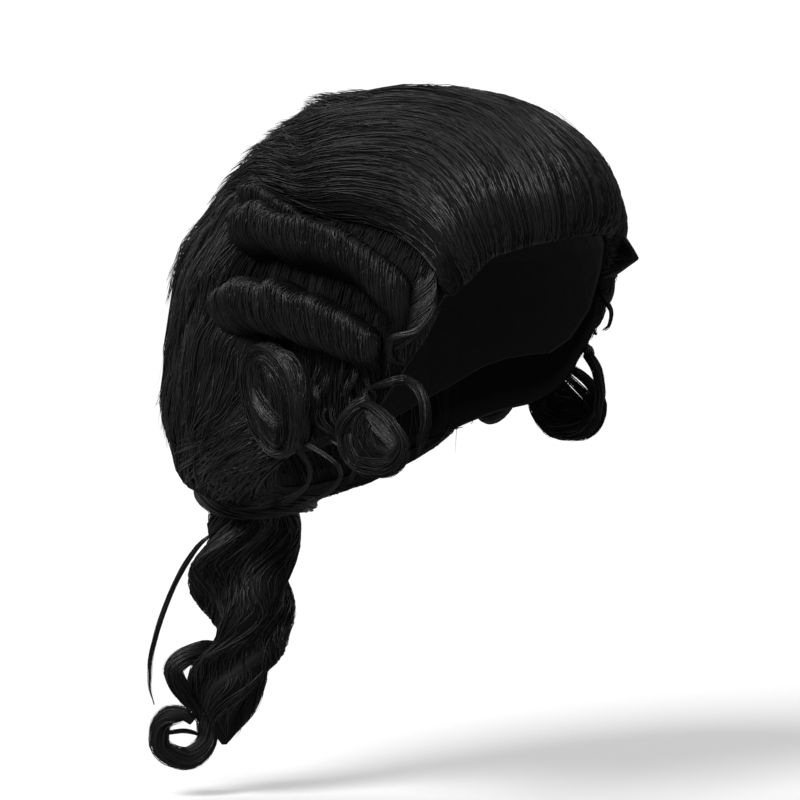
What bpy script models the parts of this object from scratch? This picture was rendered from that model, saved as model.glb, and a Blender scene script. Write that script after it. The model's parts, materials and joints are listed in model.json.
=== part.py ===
"""Black period wig: cap, combed-back top, full back, side rolls, curls and tail.

Millimetres in the tables, metres in the mesh. The origin is the inside top of
the cap. +Z is up and -Y is where the face looks. Places on the head are given
by two angles from the middle of the skull: phi from the front towards the
wearer's right (-X), and t down from the crown.
"""

import math

import bmesh
import bpy
import numpy as np

MM = 0.001
GAP = 0.45
CAP_GAP = 0.75

# The head that fills the cap
HEAD_HALF_WIDTH = 77.0
HEAD_HALF_LENGTH = 98.0
HEAD_RISE = 95.0
HEAD_DROP = 125.0
HEAD_POWER = 2.35

# Outer form of the hair
HAIR_HALF_WIDTH = 106.0
HAIR_HALF_LENGTH = 120.0
HAIR_RISE = 120.0
HAIR_DROP = 132.0
HAIR_POWER = 2.2
HAIR_MIDDLE_Z = -85.0
HAIR_MIDDLE_Y = 5.5
HAIR_LEAN = 0.22

CAP_WALL = 2.0
SIDE_THICKNESS = 8.0
BACK_START = 123.0
BACK_START_HIGH = 127.0
BACK_START_LOW = 126.5
# Rows of the side and back hair, as shares of the way down
LOWER_SHARES = np.array([0, 0.04, 0.12, 0.22, 0.32, 0.42, 0.52, 0.62, 0.72, 0.82, 0.91, 0.97, 1.0])

# Lower edge of the cap: phi, t
CAP_EDGE = [
    (0, 53), (33, 56), (44, 64), (52, 70), (57, 78), (67, 90),
    (78, 99), (90, 101), (105, 104), (125, 113), (150, 122), (180, 126),
]
# Lower edge of the hair: phi, t
HAIR_EDGE = [
    (0, 55.5), (33, 58.5), (44, 66), (50, 70), (57, 82), (67, 97),
    (78, 111), (90, 117), (105, 120), (125, 125), (150, 131.5), (180, 134),
]
# Lower border of the combed-back top: phi, t
TOP_BORDER = [
    (0, 55.5), (33, 58.5), (44, 66), (50, 69.5), (56, 61), (64, 54.5),
    (72, 50.5), (90, 48), (110, 47.5), (140, 48), (180, 49),
]

# Middle line of each roll: phi, t, half height, stand-out
UPPER_ROLL = [
    (125, 57, 13.5, 25), (113, 57.5, 14.5, 29), (93, 59.3, 15.5, 30),
    (78, 63, 15, 27), (69, 68, 13.5, 21), (63.5, 72, 10, 14),
]
LOWER_ROLL = [
    (121.5, 75.5, 14, 24), (113, 76.3, 15.3, 26), (93, 79, 16, 26),
    (84, 84, 15.5, 24), (78, 89, 14, 20), (75, 92, 11, 15),
]
ROLL_STEPS = 19
# Section of a roll: along its half height, along its stand-out
ROLL_SECTION = [
    (-0.86, 0.0), (-1.0, 0.22), (-0.93, 0.62), (-0.68, 0.93), (-0.3, 1.0), (0.15, 0.92),
    (0.56, 0.74), (0.86, 0.46), (0.97, 0.18), (0.8, 0.0), (0.0, 0.0),
]

# Flat curl over the ear: phi, t of its middle, half width, half height, stand-out
EAR_CURL = (111.4, 104.2, 20.5, 26.0, 18.0)

# Curls at the right temple: x, y, z and radius
TEMPLE_CURL = [
    (-86, -23.5, -114, 4.4),
    (-88, -15, -121.5, 5.8),
    (-89, -11, -130.5, 6.6),
    (-90, -14, -140.5, 7.0),
    (-90.5, -23, -147.5, 7.0),
    (-91, -35, -147, 6.9),
    (-91.5, -44, -139.5, 6.4),
    (-92.5, -44.5, -130.5, 5.4),
    (-94, -38.5, -126, 4.6),
    (-95.5, -31.5, -128.5, 4.2),
    (-97, -30, -135, 3.8),
    (-98, -36.5, -137.5, 2.6),
]
TEMPLE_RING = [
    (-80, -28.5, -106, 2.2),
    (-80.5, -37, -104.5, 2.8),
    (-81, -46.5, -107.5, 3.1),
    (-82, -53, -116, 3.2),
    (-83, -54.5, -127, 3.1),
    (-84, -52, -136, 2.6),
    (-85, -51.5, -142, 1.4),
]
# Lock along the hairline: phi, t, radius
TEMPLE_LOCK = [
    (53.8, 72, 1.8), (56, 76.5, 2.3), (60.5, 80.8, 2.6), (64.6, 81.8, 2.7),
    (67.6, 83, 2.6), (68.6, 87, 2.4), (66.8, 90.6, 2.1), (63.5, 91.2, 1.4),
]
# The left curls hang this much further back
LEFT_CURLS_BACK = 12.0

# Tail behind the nape: y, z, half width, half depth, turn
TAIL = [
    (117, -184, 15, 15, 0),
    (117.5, -190, 20, 19.5, 10),
    (119, -197, 22, 20.5, 24),
    (123, -208, 25, 22, 52),
    (125.5, -222, 27, 23, 88),
    (125.5, -236, 26, 22.5, 122),
    (123, -249, 22, 19.5, 154),
    (122.5, -259, 18.5, 16.5, 180),
    (127.5, -269, 20, 18, 208),
    (133.5, -279, 20.5, 18, 236),
    (137, -290, 17.5, 15, 262),
    (137.5, -300, 12.5, 11, 282),
    (138, -311, 5, 4.5, 300),
]
TAIL_SIDES = 18
TAIL_LOBES = 3
TAIL_LOBE_DEPTH = 0.13

# Lock round the gathered hair, right half: x, y, z, radius
NAPE_LOCK = [
    (0, 145.5, -179, 4.6),
    (-13, 142, -181, 5.0),
    (-23.5, 131, -185, 5.3),
    (-27.5, 117, -188, 5.3),
    (-23.5, 103, -189, 5.0),
    (-13, 93, -188, 4.7),
    (0, 89.5, -187, 4.6),
]

# Ringlet behind the tail, a loop and then a ring: x, y, z, radius
TAIL_CURL = [
    (3, 146, -266, 3.4),
    (-2.5, 148.5, -266.5, 4.2),
    (-8.5, 153, -269, 4.6),
    (-13.5, 157.5, -272.5, 4.7),
    (-15.5, 160, -277.5, 4.7),
    (-13.5, 159, -284, 4.6),
    (-8.5, 156, -290.5, 4.8),
    (-3.5, 152.5, -297, 5.0),
    (0, 149.5, -305, 5.1),
    (-1, 148.5, -313, 5.1),
    (-4.5, 150.5, -320.5, 5.0),
    (-10, 155.5, -324.5, 5.0),
    (-16, 161, -322.5, 5.0),
    (-20.5, 165, -315.5, 5.0),
    (-21.5, 164, -307, 4.8),
    (-20, 158.5, -300.5, 4.2),
    (-17.5, 152, -299.5, 3.2),
    (-15.5, 147, -303, 2.0),
]
# Bowed lock behind the tail: x of all of it, then y, z, radius
STRAY_LOCK_X = -6.0
STRAY_LOCK = [
    (143.5, -207, 1.4), (150, -212, 2.0), (158, -221.5, 2.3), (166, -234, 2.2), (173, -248, 2.0),
    (179, -263, 1.7), (182.5, -277, 1.4), (182.5, -288, 1.1), (179.5, -298, 0.7),
]

# Lock ends that lift off the back hair: phi, t of the root, t and lift of the tip, radius
LIFTED_LOCKS = [
    (138, 58, 70, 4.5, 4.5),
    (157, 60, 73, 5, 5),
    (180, 58, 72, 5, 5),
    (146, 79, 92, 5.5, 5),
    (168, 83, 97, 5.5, 5),
    (152, 101, 114, 5, 4.5),
]

HAIR_COLOUR = (0.012, 0.012, 0.013, 1.0)
CAP_COLOUR = (0.02, 0.018, 0.018, 1.0)


def curve(rows, at, column=1, level_ends=False):
    """Smooth value of a table's column, with no overshoot between rows."""
    xs = np.array([row[0] for row in rows], float)
    ys = np.array([row[column] for row in rows], float)
    steps = np.diff(ys) / np.diff(xs)
    slopes = np.zeros(len(xs))
    same_way = steps[:-1] * steps[1:] > 0
    mean = 2 * steps[:-1] * steps[1:] / (steps[:-1] + steps[1:] + 1e-12)
    slopes[1:-1] = np.where(same_way, mean, 0)
    if not level_ends:
        slopes[0] = steps[0]
        slopes[-1] = steps[-1]
    at = np.clip(np.asarray(at, float), xs[0], xs[-1])
    k = np.clip(np.searchsorted(xs, at, side="right") - 1, 0, len(xs) - 2)
    width = xs[k + 1] - xs[k]
    u = (at - xs[k]) / width
    rise = ys[k + 1] - ys[k]
    a = slopes[k] * width - rise
    b = rise - slopes[k + 1] * width
    return ys[k] + rise * u + u * (1 - u) * (a * (1 - u) + b * u)


def around(rows, phi):
    """Smooth value of a table over phi, the same on both sides."""
    turned = np.abs((np.asarray(phi, float) + 180) % 360 - 180)
    return curve(rows, turned, level_ends=True)


def way(phi, t):
    """Unit vector from the middle of the skull."""
    p = np.radians(phi)
    q = np.radians(t)
    flat = np.sin(q)
    return np.stack([-flat * np.sin(p), -flat * np.cos(p), np.cos(q) * np.ones_like(p)], axis=-1)


def skull(d):
    """Radius of the head along d."""
    drop = np.where(d[..., 2] > 0, HEAD_RISE, HEAD_DROP)
    total = np.abs(d[..., 0] / HEAD_HALF_WIDTH) ** HEAD_POWER
    total = total + np.abs(d[..., 1] / HEAD_HALF_LENGTH) ** HEAD_POWER
    total = total + np.abs(d[..., 2] / drop) ** HEAD_POWER
    return total ** (-1 / HEAD_POWER)


def hair_form(points):
    """Below 1 inside the outer form of the hair, and above 1 outside it."""
    z = points[..., 2] - HAIR_MIDDLE_Z
    y = points[..., 1] - HAIR_MIDDLE_Y + HAIR_LEAN * points[..., 2]
    rise = np.where(z > 0, HAIR_RISE, HAIR_DROP)
    total = np.abs(points[..., 0] / HAIR_HALF_WIDTH) ** HAIR_POWER
    total = total + np.abs(y / HAIR_HALF_LENGTH) ** HAIR_POWER
    return total + np.abs(z / rise) ** HAIR_POWER


def hair_radius(d):
    """Radius of the outer form of the hair along d."""
    low = np.full(d.shape[:-1], 40.0)
    high = np.full(d.shape[:-1], 260.0)
    for _ in range(30):
        middle = (low + high) / 2
        inside = hair_form(place(d, middle)) < 1
        low = np.where(inside, middle, low)
        high = np.where(inside, high, middle)
    return (low + high) / 2


def place(d, radius):
    """Point at the radius along d."""
    points = d * radius[..., None]
    points[..., 2] -= HEAD_RISE
    return points


def angles(points):
    """phi, t and radius of points."""
    x = points[..., 0]
    y = points[..., 1]
    z = points[..., 2] + HEAD_RISE
    flat = np.hypot(x, y)
    return np.degrees(np.arctan2(-x, -y)), np.degrees(np.arctan2(flat, z)), np.hypot(flat, z)


def hair_floor(phi, t):
    """Radius of the inner side of the hair that lies on the cap."""
    return skull(way(phi, t)) + CAP_WALL + CAP_GAP


def side_top(phi, t):
    """Radius of the outer side of the flat side hair."""
    left = np.clip((around(HAIR_EDGE, phi) - t) / 14, 0, 1)
    return hair_floor(phi, t) + SIDE_THICKNESS * (0.35 + 0.65 * np.sqrt(left))


def top_hair_radius(phi, share):
    """Radius of the combed-back top, for the share of the way to its border."""
    t = share * around(TOP_BORDER, phi)
    d = way(phi, t)
    floor = hair_floor(phi, t)
    full = hair_radius(d) - floor
    turned = np.abs((phi + 180) % 360 - 180)
    # The edge is rounded in front and at the sides, and full at the back
    closed = np.clip((150 - turned) / 25, 0, 1)
    front = np.clip((70 - turned) / 30, 0, 1)
    rounding = (1 - np.clip(share, 0, 1) ** (5 + 5 * front)) ** 0.6
    edge = 0.25 + 0.75 * rounding
    side = d[..., 0] * hair_radius(d)
    comb = 1.6 * np.sin(side / 7.5 + 0.6 * np.sin(d[..., 1] * 3)) * np.clip(share * 1.6, 0, 1)
    return floor + full * (edge * closed + (1 - closed)) + comb * rounding


def back_hair_radius(phi, t):
    """Radius of the full back hair."""
    d = way(phi, t)
    floor = hair_floor(phi, t)
    bottom = around(HAIR_EDGE, phi)
    top = around(TOP_BORDER, phi)
    down = np.clip((t - top) / (bottom - top), 0, 1)
    turned = np.abs((phi + 180) % 360 - 180)
    inward = np.clip((turned - BACK_START) / 16, 0, 1)
    front = 0.62 + 0.38 * np.sqrt(1 - (1 - inward) ** 2)
    under = 0.3 + 0.7 * (1 - down ** 6.5) ** 0.6
    waves = 2.2 * np.sin(np.radians(phi) * 17 + 2.2 * np.sin(np.radians(t) * 3.2))
    steps = 1.8 * ((t / 17 + 0.5 * np.sin(np.radians(phi) * 9)) % 1)
    relief = (waves + steps) * np.clip(6 * down * (1 - down), 0, 1)
    return floor + (hair_radius(d) - floor) * front * under + relief


def material(name, colour, roughness):
    made = bpy.data.materials.new(name)
    made.use_nodes = True
    shader = made.node_tree.nodes["Principled BSDF"]
    shader.inputs["Base Color"].default_value = colour
    shader.inputs["Roughness"].default_value = roughness
    made.diffuse_color = colour
    return made


def solid(name, points, faces, colour=HAIR_COLOUR, roughness=0.42):
    """Closed mesh object from points in millimetres."""
    work = bmesh.new()
    corners = [work.verts.new(tuple(float(v) * MM for v in p)) for p in points]
    for face in faces:
        work.faces.new([corners[k] for k in face])
    bmesh.ops.triangulate(work, faces=work.faces)
    bmesh.ops.recalc_face_normals(work, faces=work.faces)
    for face in work.faces:
        face.smooth = True
    mesh = bpy.data.meshes.new(name)
    work.to_mesh(mesh)
    work.free()
    made = bpy.data.objects.new(name, mesh)
    bpy.context.scene.collection.objects.link(made)
    made.data.materials.append(material(name, colour, roughness))
    return made


def dome(name, outer, inner, **look):
    """Shell closed over the crown, from rings of points that start at the crown."""
    rings, columns = outer.shape[:2]
    points = [outer[0, 0], inner[0, 0]]
    first = {}
    for side, grid in enumerate((outer, inner)):
        first[side] = len(points)
        points.extend(grid[1:].reshape(-1, 3))
    faces = []
    for side in (0, 1):
        for k in range(columns):
            n = (k + 1) % columns
            faces.append((side, first[side] + k, first[side] + n))
            for r in range(rings - 2):
                a = first[side] + r * columns
                faces.append((a + k, a + columns + k, a + columns + n, a + n))
    last = (rings - 2) * columns
    for k in range(columns):
        n = (k + 1) % columns
        low = [first[side] + last for side in (0, 1)]
        faces.append((low[0] + k, low[1] + k, low[1] + n, low[0] + n))
    return solid(name, points, faces, **look)


def slab(name, outer, inner, **look):
    """Curved slab between two grids of the same size."""
    rows, columns = outer.shape[:2]
    points = list(outer.reshape(-1, 3)) + list(inner.reshape(-1, 3))
    under = rows * columns
    faces = []
    for r in range(rows - 1):
        for k in range(columns - 1):
            a = r * columns + k
            quad = (a, a + 1, a + columns + 1, a + columns)
            faces.append(quad)
            faces.append(tuple(under + v for v in quad))
    border = [k for k in range(columns)]
    border += [r * columns + columns - 1 for r in range(1, rows)]
    border += [(rows - 1) * columns + k for k in range(columns - 2, -1, -1)]
    border += [r * columns for r in range(rows - 2, 0, -1)]
    for a, b in zip(border, border[1:] + border[:1]):
        faces.append((a, b, under + b, under + a))
    return solid(name, points, faces, **look)


def rings_solid(name, rings, closed=False, **look):
    """Solid through rings of points, closed by its own start or by the middle of each end ring."""
    rings = [np.asarray(ring, float) for ring in rings]
    sides = len(rings[0])
    points = [p for ring in rings for p in ring]
    faces = []
    count = len(rings)
    for r in range(count if closed else count - 1):
        a = r * sides
        b = (r + 1) % count * sides
        for k in range(sides):
            n = (k + 1) % sides
            faces.append((a + k, a + n, b + n, b + k))
    if not closed:
        for start, ring in ((0, rings[0]), ((count - 1) * sides, rings[-1])):
            points.append(ring.mean(axis=0))
            for k in range(sides):
                faces.append((start + k, start + (k + 1) % sides, len(points) - 1))
    return solid(name, points, faces, **look)


def spread(rows, count):
    """Rows of a table at evenly spaced steps along its first three columns."""
    table = np.array(rows, float)
    index = np.arange(len(table), dtype=float)
    fine = np.linspace(0, len(table) - 1, 12 * len(table))
    smooth = np.stack([curve(list(zip(index, column)), fine) for column in table.T], axis=-1)
    pieces = np.linalg.norm(np.diff(smooth[:, :3], axis=0), axis=1)
    lengths = np.concatenate([[0], np.cumsum(pieces)])
    wanted = np.linspace(0, lengths[-1], count)
    return np.stack([np.interp(wanted, lengths, column) for column in smooth.T], axis=-1)


def tube_rings(path, radii, sides, closed=False):
    """Round rings along a path, carried along it without twist."""
    path = np.asarray(path, float)
    if closed:
        along = np.roll(path, -1, axis=0) - np.roll(path, 1, axis=0)
    else:
        along = np.gradient(path, axis=0)
    along /= np.linalg.norm(along, axis=1)[:, None]
    across = np.cross(along[0], (0.3, 0.2, 1.0))
    rings = []
    for point, direction, radius in zip(path, along, radii):
        across = across - direction * across.dot(direction)
        across = across / np.linalg.norm(across)
        other = np.cross(direction, across)
        turns = 2 * math.pi * np.arange(sides) / sides
        section = np.cos(turns)[:, None] * across + np.sin(turns)[:, None] * other
        rings.append(point + radius * section)
    return rings


def tube(name, rows, sides, count, **look):
    """Lock that follows a table of x, y, z and radius."""
    steps = spread(rows, count)
    return rings_solid(name, tube_rings(steps[:, :3], steps[:, 3], sides), **look)


def keep_off(points, floor):
    """Move points outwards to the floor radius, where they are below it."""
    phi, t, radius = angles(points)
    return place(way(phi, t), np.maximum(radius, floor(phi, t)))


def under_back_hair(phi, t):
    """Radius that is clear of the back hair, or 0 past its edge."""
    edge = around(HAIR_EDGE, phi)
    return np.where(t < edge + 1, back_hair_radius(phi, np.minimum(t, edge)) + 2 * GAP, 0)


def wig_cap():
    columns = 36
    phi = np.arange(columns) * 360 / columns
    share = np.array([0, 0.13, 0.26, 0.39, 0.52, 0.65, 0.77, 0.89, 1.0])
    t = share[:, None] * around(CAP_EDGE, phi)[None, :]
    d = way(np.broadcast_to(phi, t.shape), t)
    inside = skull(d)
    outer = place(d, inside + CAP_WALL)
    return dome("wig_cap", outer, place(d, inside), colour=CAP_COLOUR, roughness=0.8)


def top_hair():
    columns = 44
    phi = np.arange(columns) * 360 / columns
    share = np.array([0, 0.16, 0.32, 0.46, 0.59, 0.71, 0.82, 0.91, 0.97, 1.0])
    both = np.broadcast_to(phi, (len(share), columns))
    shares = np.broadcast_to(share[:, None], both.shape)
    t = shares * around(TOP_BORDER, both)
    d = way(both, t)
    outer = place(d, top_hair_radius(both, shares))
    inner = place(d, hair_floor(both, t))
    return dome("top_hair", outer, inner)


def back_start(t):
    """phi where the full back hair begins, a little further back at the top and round the ear."""
    low = np.clip((t - 84) / 8, 0, 1)
    high = np.clip((74 - t) / 12, 0, 1)
    ahead = (BACK_START_HIGH - BACK_START) * high * high * (3 - 2 * high)
    return BACK_START + ahead + (BACK_START_LOW - BACK_START) * low * low * (3 - 2 * low)


def lower_grid(phis, shares):
    """phi and t between the border of the top and the edge of the hair."""
    start = around(TOP_BORDER, phis) + 0.4
    end = around(HAIR_EDGE, phis)
    both = np.broadcast_to(phis, (len(shares), len(phis)))
    return both, start[None, :] + shares[:, None] * (end - start)[None, :]


def back_hair():
    phis = np.linspace(BACK_START, 360 - BACK_START, 21)
    both, t = lower_grid(phis, LOWER_SHARES)
    both = 180 + (both - 180) * (180 - back_start(t)) / (180 - BACK_START)
    d = way(both, t)
    made = slab("back_hair", place(d, back_hair_radius(both, t)), place(d, hair_floor(both, t)))
    for side in (1, -1):
        for phi, start, end, lift, radius in LIFTED_LOCKS:
            if phi == 180 and side < 0:
                continue
            rows = []
            for u in (0.0, 0.3, 0.6, 0.85, 1.0):
                t_here = np.array(start + (end - start) * u)
                phi_here = np.array(float(phi))
                height = back_hair_radius(phi_here, t_here) - radius * 0.75 + lift * u ** 1.7
                x, y, z = place(way(phi_here, t_here), height)
                rows.append((side * x, y, z, radius * (1 - u) ** 0.6 + 0.5))
            fuse(made, tube("lock", rows, 5, 5))
    return made


def fuse(body, other):
    """Join other into body as one closed solid."""
    step = body.modifiers.new("union", "BOOLEAN")
    step.operation = "UNION"
    step.solver = "EXACT"
    step.object = other
    depsgraph = bpy.context.evaluated_depsgraph_get()
    joined = bpy.data.meshes.new_from_object(body.evaluated_get(depsgraph))
    body.modifiers.clear()
    body.data = joined
    bpy.data.objects.remove(other)


def side_hair(name, side):
    phis = np.linspace(53.5, BACK_START, 13)
    both, t = lower_grid(phis, LOWER_SHARES)
    both = 53.5 + (both - 53.5) * (back_start(t) - 0.35 - 53.5) / (BACK_START - 53.5)
    outer = place(way(both, t), side_top(both, t))
    inner = place(way(both, t), hair_floor(both, t))
    outer[..., 0] *= side
    inner[..., 0] *= side
    return slab(name, outer, inner)


def on_side(phi, t, up):
    """Point above the flat side hair."""
    return place(way(phi, t), side_top(phi, t) + GAP + up)


def roll(name, rows, side):
    """Horizontal roll on the side hair, hollow at its front end."""
    table = spread(rows, ROLL_STEPS)
    outline = np.array(ROLL_SECTION)
    rings = []
    for step, (phi, t, half, out) in enumerate(table):
        before = table[max(step - 1, 0)]
        after = table[min(step + 1, len(table) - 1)]
        turn = np.array([(after[0] - before[0]) * math.sin(math.radians(t)), after[1] - before[1]])
        turn /= np.linalg.norm(turn)
        scallop = 1 + 0.035 * math.sin(step * 1.9)
        ends = 1 - 0.25 * (step == 0)
        w = outline[:, 0] * half * ends
        up = outline[:, 1] * out * scallop * ends
        reach = skull(way(np.array(phi), np.array(t))) + 12 + up * 0.5
        dphi = -turn[1] * w / reach / math.sin(math.radians(t))
        dt = turn[0] * w / reach
        if turn[0] < 0:
            dphi, dt = -dphi, -dt
        rings.append(on_side(phi + np.degrees(dphi), t + np.degrees(dt), up))
    # The front end is drawn in to a hollow
    for back, share in ((0, 0.72), (2, 0.6), (3, 0.4)):
        ring = rings[ROLL_STEPS - 1 - back]
        middle = ring.mean(axis=0)
        drawn_in = middle + (ring - middle) * share
        rings.append(keep_off(drawn_in, lambda p, q: side_top(p, q) + GAP))
    rings = [ring * (side, 1, 1) for ring in rings]
    return rings_solid(name, rings)


def ear_curl(name, side):
    """Oval curl that winds round a hollow."""
    phi0, t0, half_width, half_height, out = EAR_CURL
    turns = 2 * math.pi * np.arange(18) / 18
    shares = [1.0, 0.97, 0.86, 0.72, 0.55, 0.38, 0.2]
    heights = [0.15, 0.62, 0.94, 1.0, 0.86, 0.68, 0.6]
    reach = 98.0
    rings = []
    for share, height in zip(shares, heights):
        wind = share * (1 - 0.06 * np.cos(turns - 0.8))
        y = np.cos(turns) * half_width * wind
        z = np.sin(turns) * half_height * wind
        t = t0 + np.degrees(z / reach)
        phi = phi0 + np.degrees(y / reach) / np.sin(np.radians(t))
        lift = out * height * (1 - 0.14 * np.cos(turns * 1.0 + 2.4))
        rings.append(on_side(phi, t, lift))
    base = []
    for share in (0.4, 0.97):
        t = t0 + np.degrees(np.sin(turns) * half_height * share / reach)
        phi = phi0 + np.degrees(np.cos(turns) * half_width * share / reach) / np.sin(np.radians(t))
        base.append(on_side(phi, t, 0 * phi + 0.4))
    rings = base + rings
    return rings_solid(name, [ring * (side, 1, 1) for ring in rings])


def temple_curl(name, rows, sides, count, side, back):
    """Curl that hangs at the temple, clear of the flat side hair."""
    steps = spread(rows, count)
    steps[:, 1] += back
    radii = steps[:, 3]
    path = keep_off(steps[:, :3], lambda p, q: over_side(p, q) + radii)
    rings = [keep_off(ring, over_side) for ring in tube_rings(path, radii, sides)]
    return rings_solid(name, [ring * (side, 1, 1) for ring in rings])


def temple_lock(name, side):
    """Thin lock that follows the hairline and ends round the hollow of the lower roll."""
    steps = spread(TEMPLE_LOCK, 12)
    phi, t, radius = steps.T
    path = place(way(phi, t), side_top(phi, t) + GAP + radius)
    path[:, 0] *= side
    return rings_solid(name, tube_rings(path, radius, 6))


def tail_ring(y, z, wide, deep, turn, extra=0.0):
    """Lobed section of the tail at one height."""
    turns = 2 * math.pi * np.arange(TAIL_SIDES) / TAIL_SIDES
    lobes = 1 + TAIL_LOBE_DEPTH * np.cos(TAIL_LOBES * (turns + math.radians(turn)))
    across = (wide + extra) * lobes * np.cos(turns)
    along = y + (deep + extra) * lobes * np.sin(turns)
    return np.stack([across, along, z + 0 * turns], axis=-1)


def ponytail():
    rings = [keep_off(tail_ring(*step), under_back_hair) for step in spread(TAIL, 22)]
    return rings_solid("ponytail", rings)


def over_side(phi, t):
    """Radius that is clear of the flat side hair and the cap, or 0 past its edge."""
    edge = around(HAIR_EDGE, phi)
    near = (t < edge + 2) & (phi > 45) & (phi < BACK_START_LOW)
    return np.where(near, side_top(phi, np.minimum(t, edge)) + 1.9 * GAP, 0)


def off_tail(points):
    """Move points outwards until they are clear of the tail."""
    heights = [(-row[1],) + tuple(row) for row in TAIL]
    depth = -points[:, 2]
    y, _, wide, deep, turn = (curve(heights, depth, column) for column in range(1, 6))
    wide = wide + GAP * 2
    deep = deep + GAP * 2
    angle = np.arctan2((points[:, 1] - y) / deep, points[:, 0] / wide)
    lobes = 1 + TAIL_LOBE_DEPTH * np.cos(TAIL_LOBES * (angle + np.radians(turn)))
    share = np.hypot(points[:, 0] / wide, (points[:, 1] - y) / deep) / lobes
    inside = (share < 1) & (depth > heights[0][0] - 2) & (depth < heights[-1][0] + 2)
    push = np.where(inside, 1 / np.maximum(share, 0.05), 1.0)
    return np.stack([points[:, 0] * push, y + (points[:, 1] - y) * push, points[:, 2]], axis=-1)


def nape_lock():
    right = spread(NAPE_LOCK, 12)
    left = right[-2:0:-1] * (-1, 1, 1, 1)
    ring = np.concatenate([right, left])
    path = keep_off(ring[:, :3], lambda p, q: under_back_hair(p, q) + 3)
    rings = [off_tail(keep_off(r, under_back_hair)) for r in tube_rings(path, ring[:, 3], 7, closed=True)]
    return rings_solid("nape_lock", rings, closed=True)


def tail_curl():
    steps = spread(TAIL_CURL, 40)
    rings = [off_tail(r) for r in tube_rings(steps[:, :3], steps[:, 3], 7)]
    return rings_solid("tail_curl", rings)


def stray_lock():
    steps = spread([(STRAY_LOCK_X, y, z, r) for y, z, r in STRAY_LOCK], 14)
    rings = [off_tail(r) for r in tube_rings(steps[:, :3], steps[:, 3], 5)]
    return rings_solid("stray_lock", rings)


def main():
    for old in list(bpy.data.objects):
        bpy.data.objects.remove(old)
    wig_cap()
    top_hair()
    back_hair()
    for word, side in (("right", 1), ("left", -1)):
        side_hair("side_hair_" + word, side)
        roll("upper_roll_" + word, UPPER_ROLL, side)
        roll("lower_roll_" + word, LOWER_ROLL, side)
        ear_curl("ear_curl_" + word, side)
        temple_lock("temple_lock_" + word, side)
        back = 0 if side > 0 else LEFT_CURLS_BACK
        temple_curl("temple_curl_" + word, TEMPLE_CURL, 8, 24, side, back)
        temple_curl("temple_ring_" + word, TEMPLE_RING, 6, 18, side, back)
    ponytail()
    nape_lock()
    tail_curl()
    stray_lock()


main()
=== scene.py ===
"""Looks of the black period wig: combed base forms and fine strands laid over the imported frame.

Lengths are millimetres in the tables and metres in the meshes. A place on the
head is given by phi, from the front towards the wearer's right (-X), and t, down
from the crown. On the flat map of the head, a place is at (-t sin phi, -t cos phi)
in degrees, so the face is at the bottom and the nape at the top.
"""

import json
import math

import bpy
import numpy as np
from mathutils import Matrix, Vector

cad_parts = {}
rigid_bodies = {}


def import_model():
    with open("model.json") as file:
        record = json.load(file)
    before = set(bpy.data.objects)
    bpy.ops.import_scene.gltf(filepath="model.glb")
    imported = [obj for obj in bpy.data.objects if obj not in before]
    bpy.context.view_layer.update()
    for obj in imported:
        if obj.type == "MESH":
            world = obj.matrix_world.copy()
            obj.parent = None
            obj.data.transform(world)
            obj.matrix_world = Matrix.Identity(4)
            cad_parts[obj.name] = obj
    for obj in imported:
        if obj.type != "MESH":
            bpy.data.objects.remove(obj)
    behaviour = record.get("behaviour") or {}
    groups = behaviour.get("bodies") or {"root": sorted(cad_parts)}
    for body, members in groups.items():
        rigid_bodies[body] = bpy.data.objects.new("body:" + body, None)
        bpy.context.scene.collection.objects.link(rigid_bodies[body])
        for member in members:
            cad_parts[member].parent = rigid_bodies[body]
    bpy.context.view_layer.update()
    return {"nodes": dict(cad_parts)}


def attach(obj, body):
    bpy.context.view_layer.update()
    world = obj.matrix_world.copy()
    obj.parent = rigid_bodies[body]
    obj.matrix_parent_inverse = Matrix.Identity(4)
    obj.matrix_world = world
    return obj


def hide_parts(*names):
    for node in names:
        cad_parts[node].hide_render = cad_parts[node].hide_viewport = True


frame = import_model()

MM = 0.001
GAP = 0.45
CAP_GAP = 0.75
CAP_WALL = 2.0
SIDE_THICKNESS = 8.0

HEAD_HALF_WIDTH = 77.0
HEAD_HALF_LENGTH = 98.0
HEAD_RISE = 95.0
HEAD_DROP = 125.0
HEAD_POWER = 2.35
HAIR_HALF_WIDTH = 106.0
HAIR_HALF_LENGTH = 120.0
HAIR_RISE = 120.0
HAIR_DROP = 132.0
HAIR_POWER = 2.2
HAIR_MIDDLE_Z = -85.0
HAIR_MIDDLE_Y = 5.5
HAIR_LEAN = 0.22
BACK_START = 127.0

HAIR_EDGE = [
    (0, 55.5), (33, 58.5), (44, 66), (50, 70), (57, 82), (67, 97),
    (78, 111), (90, 117), (105, 120), (125, 125), (150, 131.5), (180, 134),
]
TOP_BORDER = [
    (0, 55.5), (33, 58.5), (44, 66), (50, 69.5), (56, 61), (64, 54.5),
    (72, 50.5), (90, 48), (110, 47.5), (140, 48), (180, 49),
]
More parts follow.
